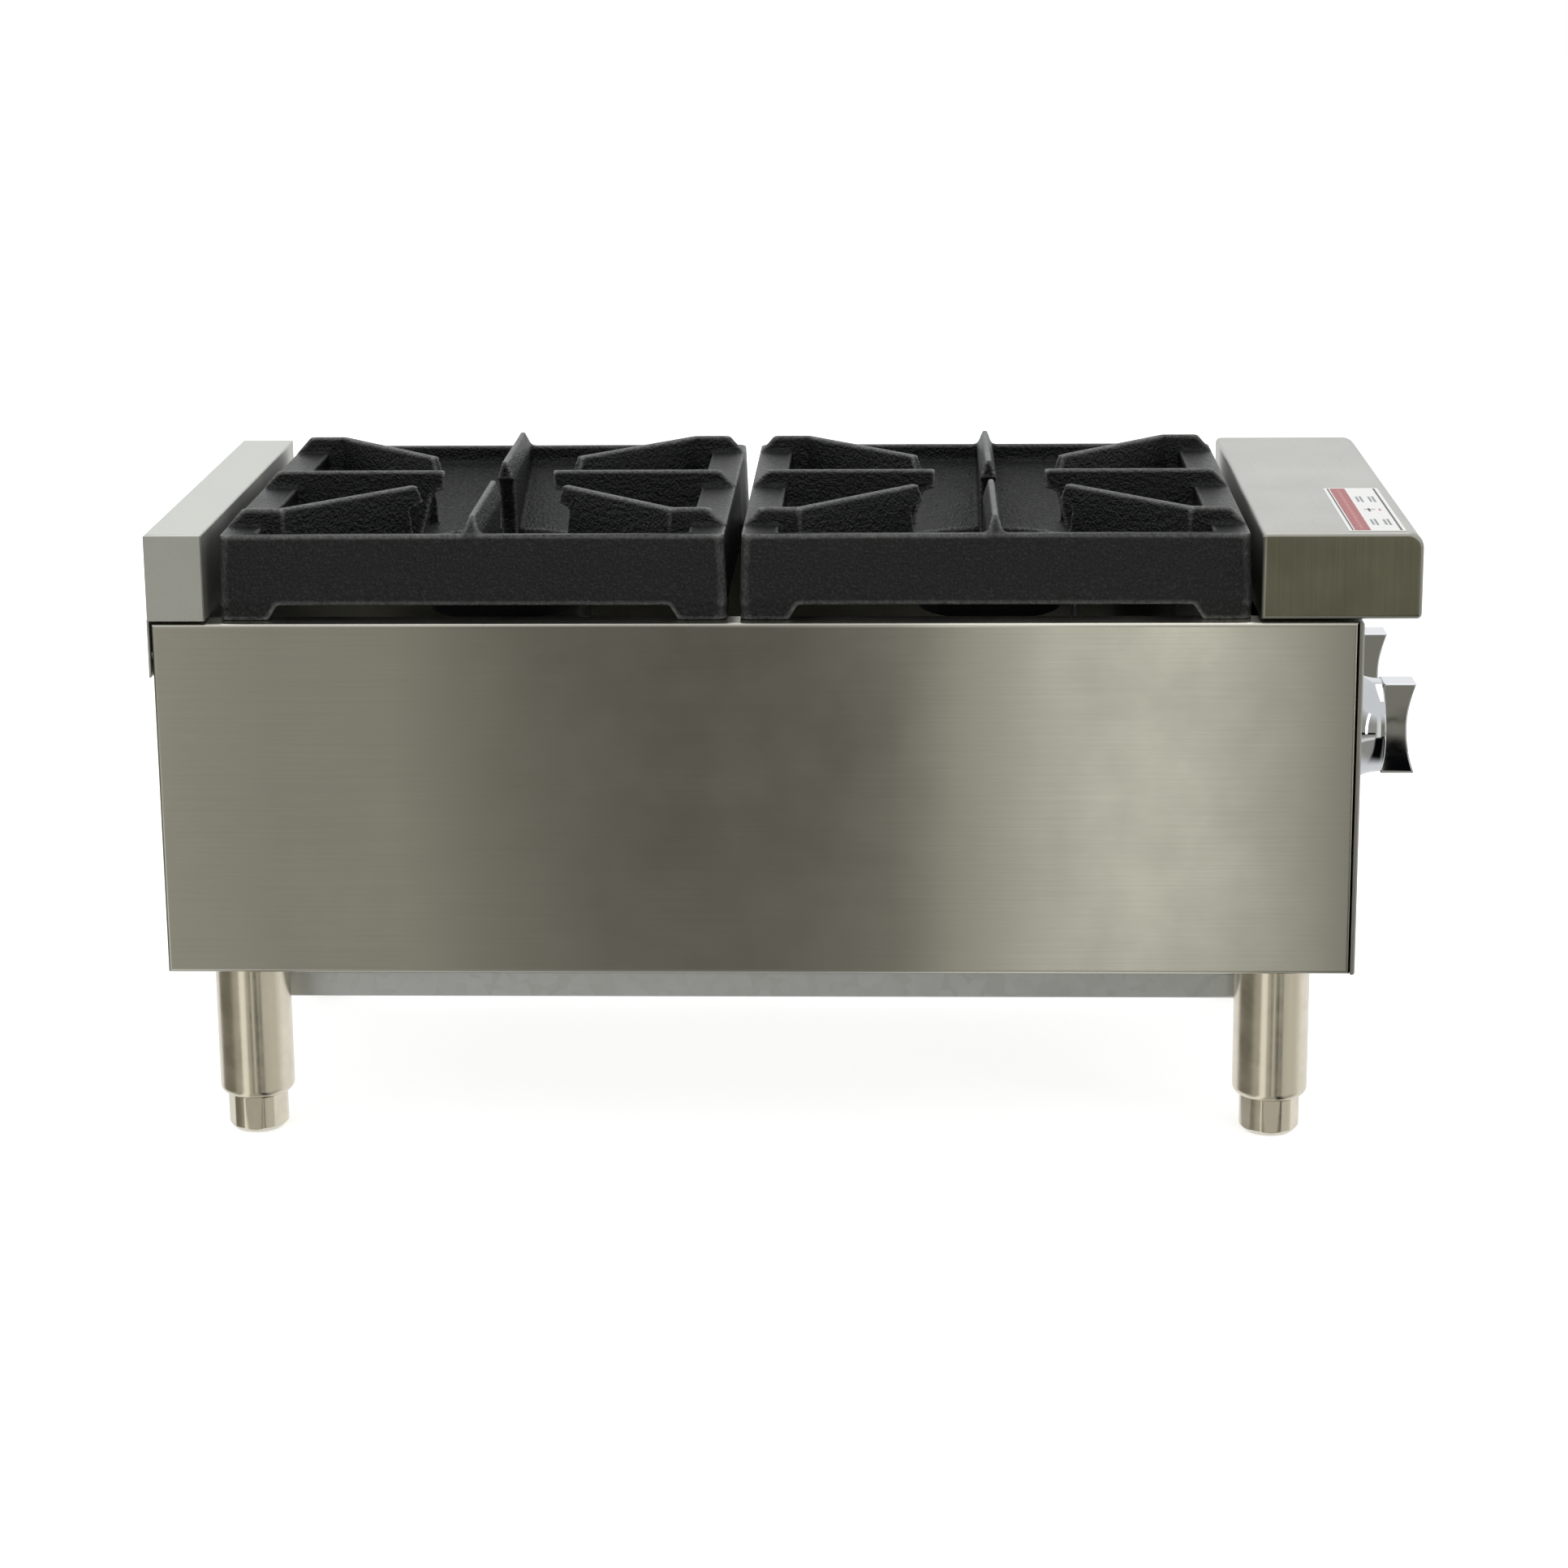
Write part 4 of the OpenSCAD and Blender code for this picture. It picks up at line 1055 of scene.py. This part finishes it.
class HOTPLATE_OT_legs(bpy.types.Operator):
    """Make the four turned sleeves and their adjustable feet with spanner flats"""

    bl_idname = "hotplate.legs"
    bl_label = "Legs and feet"

    def execute(self, context):
        # All in millimetres, radii from the axis of the leg
        bore, bore_depth, hem = 15.1, 45, 4.6
        radius, neck, flat = 17.0, 15, 16.05
        for place in ("front_left", "front_right", "rear_left", "rear_right"):
            leg_low, leg_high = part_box(f"{place}_leg")
            foot_low, foot_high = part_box(f"{place}_foot")
            middle = (leg_low + leg_high) / 2
            sleeve = (leg_high.x - leg_low.x) / 2
            z_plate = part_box("left_side_panel")[0].z
            z_low = leg_low.z
            stud = 5 * MM
            bm = bmesh.new()
            inside = [
                (0, z_low + bore_depth * MM),
                (bore, z_low + bore_depth * MM),
                (bore, z_low),
                (sleeve / MM - hem, z_low),
            ]
            turns = [step * math.pi / 12 for step in range(1, 7)]
            curve = [
                (
                    sleeve / MM - hem * (1 - math.sin(angle)),
                    z_low + hem * MM * (1 - math.cos(angle)),
                )
                for angle in turns
            ]
            top = [
                (sleeve / MM, z_plate - 0.5 * MM),
                (sleeve / MM - 0.5, z_plate),
                (stud / MM, z_plate),
                (stud / MM, leg_high.z - 0.6 * MM),
                (stud / MM - 0.6, leg_high.z),
                (0, leg_high.z),
            ]
            spots = [(middle.x + r * MM, middle.y, z) for r, z in inside + curve + top]
            chain(bm, spots)
            turn(bm, middle, Z)
            finished(f"{place}_leg_sleeve", bm, "chassis", "satin_nickel", [f"{place}_leg"])

            z_neck = z_low - 0.1 * MM
            outline = [
                (0, foot_low.z),
                (radius - 3.4, foot_low.z),
                (radius - 3, foot_low.z + 0.2 * MM),
                (radius, foot_low.z + 3.2 * MM),
                (radius, z_neck - 0.5 * MM),
                (radius - 0.5, z_neck),
                (neck, z_neck),
                (neck, foot_high.z - 0.5 * MM),
                (neck - 0.5, foot_high.z),
                (0, foot_high.z),
            ]
            bm = bmesh.new()
            chain(bm, [(middle.x + r * MM, middle.y, z) for r, z in outline])
            turn(bm, middle, Z)
            for step in range(6):
                angle = math.radians(60 * step)
                out = Vector((math.cos(angle), math.sin(angle), 0))
                cut = bmesh.ops.bisect_plane(
                    bm,
                    geom=bm.verts[:] + bm.edges[:] + bm.faces[:],
                    dist=0.001 * MM,
                    plane_co=Vector((middle.x, middle.y, 0)) + out * flat * MM,
                    plane_no=out,
                    clear_outer=True,
                )
                edge_loop = [g for g in cut["geom_cut"] if isinstance(g, bmesh.types.BMEdge)]
                bmesh.ops.contextual_create(bm, geom=edge_loop)
            bmesh.ops.recalc_face_normals(bm, faces=bm.faces)
            name, foot = f"{place}_foot_pad", f"{place}_foot"
            finished(name, bm, foot, "satin_nickel", [foot], crease=20, modifiers=())
        return {"FINISHED"}


# ---------------------------------------------------------------- carried-over parts


class HOTPLATE_OT_inner_parts(bpy.types.Operator):
    """Give the parts inside the body their finishes and soften all but the sheared edges"""

    bl_idname = "hotplate.inner_parts"
    bl_label = "Parts inside the body"

    def execute(self, context):
        soften = {"width": 0.3 * MM, "segments": 2}
        soften.update({"limit_method": "ANGLE", "angle_limit": math.radians(40)})
        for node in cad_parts.values():
            if node.hide_render:
                continue
            packed = node.data.materials[0].name.split(".")[0]
            node.data.materials[0] = material(SLOT_MATERIALS[packed])
            add_modifier(node, "WELD", {"merge_threshold": 0.01 * MM})
            if packed != "galvanised_sheet":
                add_modifier(node, "BEVEL", soften)
        return {"FINISHED"}


# ---------------------------------------------------------------- stage


# Where the camera stands, in metres, and its angles in degrees: down, towards +Y, roll
CAMERA_PLACE = (-2.039, -0.0646, 0.7349)
CAMERA_ANGLES = (13.428, 2.058, -0.54)
CAMERA_SHIFT = -0.08

# Area lamps: name, place, size in metres, and watts, or None for the power in the settings
LAMPS = (
    ("overhead", (0.5, 0, 2.5), (2.2, 2.8), None),
    ("behind", (2.5, 0.3, 1.5), (3.2, 1.4), 3),
    ("front_strip", (-1.5, -2.2, 0.7), (0.25, 1.7), 4),
)
LAMP_AIM = (0, 0, 0.2)

# The room that the metal reflects, as cards laid over one another. Each has its tone, the span
# it fills of the direction's parts along an axis, and how softly its edges fade
ROOM_TONES = {
    "black": "08090B",
    "dim": "8E8B7F",
    "shade": "76746B",
    "wall": "ADABA3",
    "lamp": "E6E4DB",
    "floor": "A9A8A1",
    "card": "FFFFFA",
    "sky": "F5F6F7",
}
FAR = 9
ROOM_CARDS = (
    ("wall", {"Y": (0.14, FAR)}, 0.06),
    ("lamp", {"Y": (0.115, 0.185), "Z": (-0.6, -0.275)}, 0.02),
    ("card", {"Y": (-FAR, -0.035)}, 0.04),
    ("wall", {"Y": (-0.3, -0.104), "Z": (-0.285, FAR)}, 0.012),
    ("dim", {"Y": (-0.3, -0.12)}, 0.006),
    ("black", {"Y": (-0.28, -0.123), "Z": (-0.3, -0.2515)}, 0.0015),
    ("black", {"Y": (-0.28, -0.123), "Z": (-0.2475, -0.2467)}, 0.0003),
    ("floor", {"Z": (-FAR, -0.36)}, 0.03),
    ("card", {"Y": (0.27, 0.55), "Z": (-FAR, -0.1)}, 0.03),
    ("black", {"Y": (-0.5, -0.22), "Z": (-FAR, -0.29)}, 0.04),
    ("wall", {"Y": (-FAR, -0.45), "Z": (-0.27, 0.5)}, 0.05),
    ("black", {"Y": (-FAR, -0.5), "Z": (-0.17, -0.1)}, 0.015),
    ("sky", {"Z": (0.4, FAR)}, 0.25),
    ("sky", {"X": (0.0, FAR)}, 0.3),
    ("shade", {"Y": (0.82, FAR), "Z": (-FAR, 0.1)}, 0.08),
)


class HOTPLATE_OT_stage(bpy.types.Operator):
    """Set the floor, the soft lights and the camera"""

    bl_idname = "hotplate.stage"
    bl_label = "Stage"

    def execute(self, context):
        scene = context.scene
        sizes = scene.hot_plate_stage
        scene.view_settings.view_transform = "Standard"
        bm = bmesh.new()
        bmesh.ops.create_grid(bm, x_segments=1, y_segments=1, size=9)
        floor = placed_object("floor", bm)
        glow = {"Roughness": 0.9, "Emission Color": (1, 1, 1), "Emission Strength": 0.6}
        paint, tree, shader, coords = surface("lit_white_sweep", glow)
        pale = list(sizes.floor)
        tone = blend(tree, noise(tree, coords, 625 * MM, 3), shaded(pale, 0.985), pale)
        tree.links.new(tone, shader.inputs["Base Color"])
        floor.data.materials.append(paint)
        floor.visible_glossy = False

        for name, place, size, power in LAMPS:
            lamp = bpy.data.lights.new(name, "AREA")
            lamp.shape = "RECTANGLE"
            lamp.size, lamp.size_y = size
            lamp.energy = power or sizes.key_power
            light = bpy.data.objects.new(name, lamp)
            light.location = place
            direction = Vector(LAMP_AIM) - Vector(place)
            light.rotation_mode = "QUATERNION"
            light.rotation_quaternion = direction.to_track_quat("-Z", "Y")
            scene.collection.objects.link(light)

        world = bpy.data.worlds.new("studio")
        world.use_nodes = True
        tree = world.node_tree
        tree.nodes.clear()
        ray = add_node(tree, "TexCoord").outputs["Generated"]
        parts = add_node(tree, "SeparateXYZ", None, {0: ray}).outputs
        smooth = {"interpolation_type": "SMOOTHSTEP"}
        times = {"operation": "MULTIPLY"}

        def edge(axis, start, stop):
            """0 to 1 as the direction's part along an axis goes from start to stop."""
            span = {"Value": parts[axis], "From Min": start, "From Max": stop}
            return add_node(tree, "MapRange", smooth, span).outputs[0]

        room = linear(ROOM_TONES["shade"])
        for tone, spans, soft in ROOM_CARDS:
            share = None
            for axis, (low, high) in spans.items():
                for limit, sign in ((low, 1), (high, -1)):
                    if abs(limit) < FAR:
                        side = edge(axis, limit - sign * soft, limit + sign * soft)
                        if share:
                            side = add_node(tree, "Math", times, {0: share, 1: side}).outputs[0]
                        share = side
            room = blend(tree, share, room, linear(ROOM_TONES[tone]))
        seen = add_node(tree, "LightPath").outputs["Is Camera Ray"]
        light = blend(tree, seen, room, (1, 1, 1))
        sky = add_node(tree, "Background", None, {"Color": light, "Strength": 1.0})
        add_node(tree, "OutputWorld", None, {"Surface": sky.outputs[0]})
        scene.world = world

        camera_data = bpy.data.cameras.new("camera")
        camera_data.lens = sizes.lens
        camera_data.sensor_width = 36
        camera_data.shift_y = CAMERA_SHIFT
        camera_data.clip_start, camera_data.clip_end = 0.05, 60
        camera = bpy.data.objects.new("camera", camera_data)
        camera.location = CAMERA_PLACE
        down, across, roll = (math.radians(v) for v in CAMERA_ANGLES)
        aim = Vector(
            (math.cos(down) * math.cos(across), math.cos(down) * math.sin(across), -math.sin(down))
        )
        camera.rotation_mode = "QUATERNION"
        camera.rotation_quaternion = aim.to_track_quat("-Z", "Y") @ Quaternion(Z, roll)
        scene.collection.objects.link(camera)
        scene.camera = camera
        return {"FINISHED"}


# ---------------------------------------------------------------- add-on


OPERATORS = (
    HOTPLATE_OT_side_panels,
    HOTPLATE_OT_control_panel,
    HOTPLATE_OT_front_ledge,
    HOTPLATE_OT_rear_trim,
    HOTPLATE_OT_sticker,
    HOTPLATE_OT_tray_runners,
    HOTPLATE_OT_grates,
    HOTPLATE_OT_burner_heads,
    HOTPLATE_OT_knobs,
    HOTPLATE_OT_legs,
    HOTPLATE_OT_inner_parts,
    HOTPLATE_OT_stage,
)


class HOTPLATE_PT_panel(bpy.types.Panel):
    """List the hot plate's pieces and settings"""

    bl_label = "Hot Plate"
    bl_idname = "HOTPLATE_PT_panel"
    bl_space_type = "VIEW_3D"
    bl_region_type = "UI"
    bl_category = "Hot Plate"

    def draw(self, context):
        for key, group in GROUPS.items():
            box = self.layout.box()
            for setting in group.__annotations__:
                box.prop(getattr(context.scene, key), setting)
        for operator in OPERATORS:
            self.layout.operator(operator.bl_idname)


def register():
    for entry in (*GROUPS.values(), *OPERATORS, HOTPLATE_PT_panel):
        bpy.utils.register_class(entry)
    for key, group in GROUPS.items():
        setattr(bpy.types.Scene, key, bpy.props.PointerProperty(type=group))


def unregister():
    for key in GROUPS:
        delattr(bpy.types.Scene, key)
    for entry in reversed((*GROUPS.values(), *OPERATORS, HOTPLATE_PT_panel)):
        bpy.utils.unregister_class(entry)


def main():
    """Registers the add-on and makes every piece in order."""
    register()
    for operator in OPERATORS:
        group, name = operator.bl_idname.split(".")
        getattr(getattr(bpy.ops, group), name)()


if __name__ == "__main__":
    main()
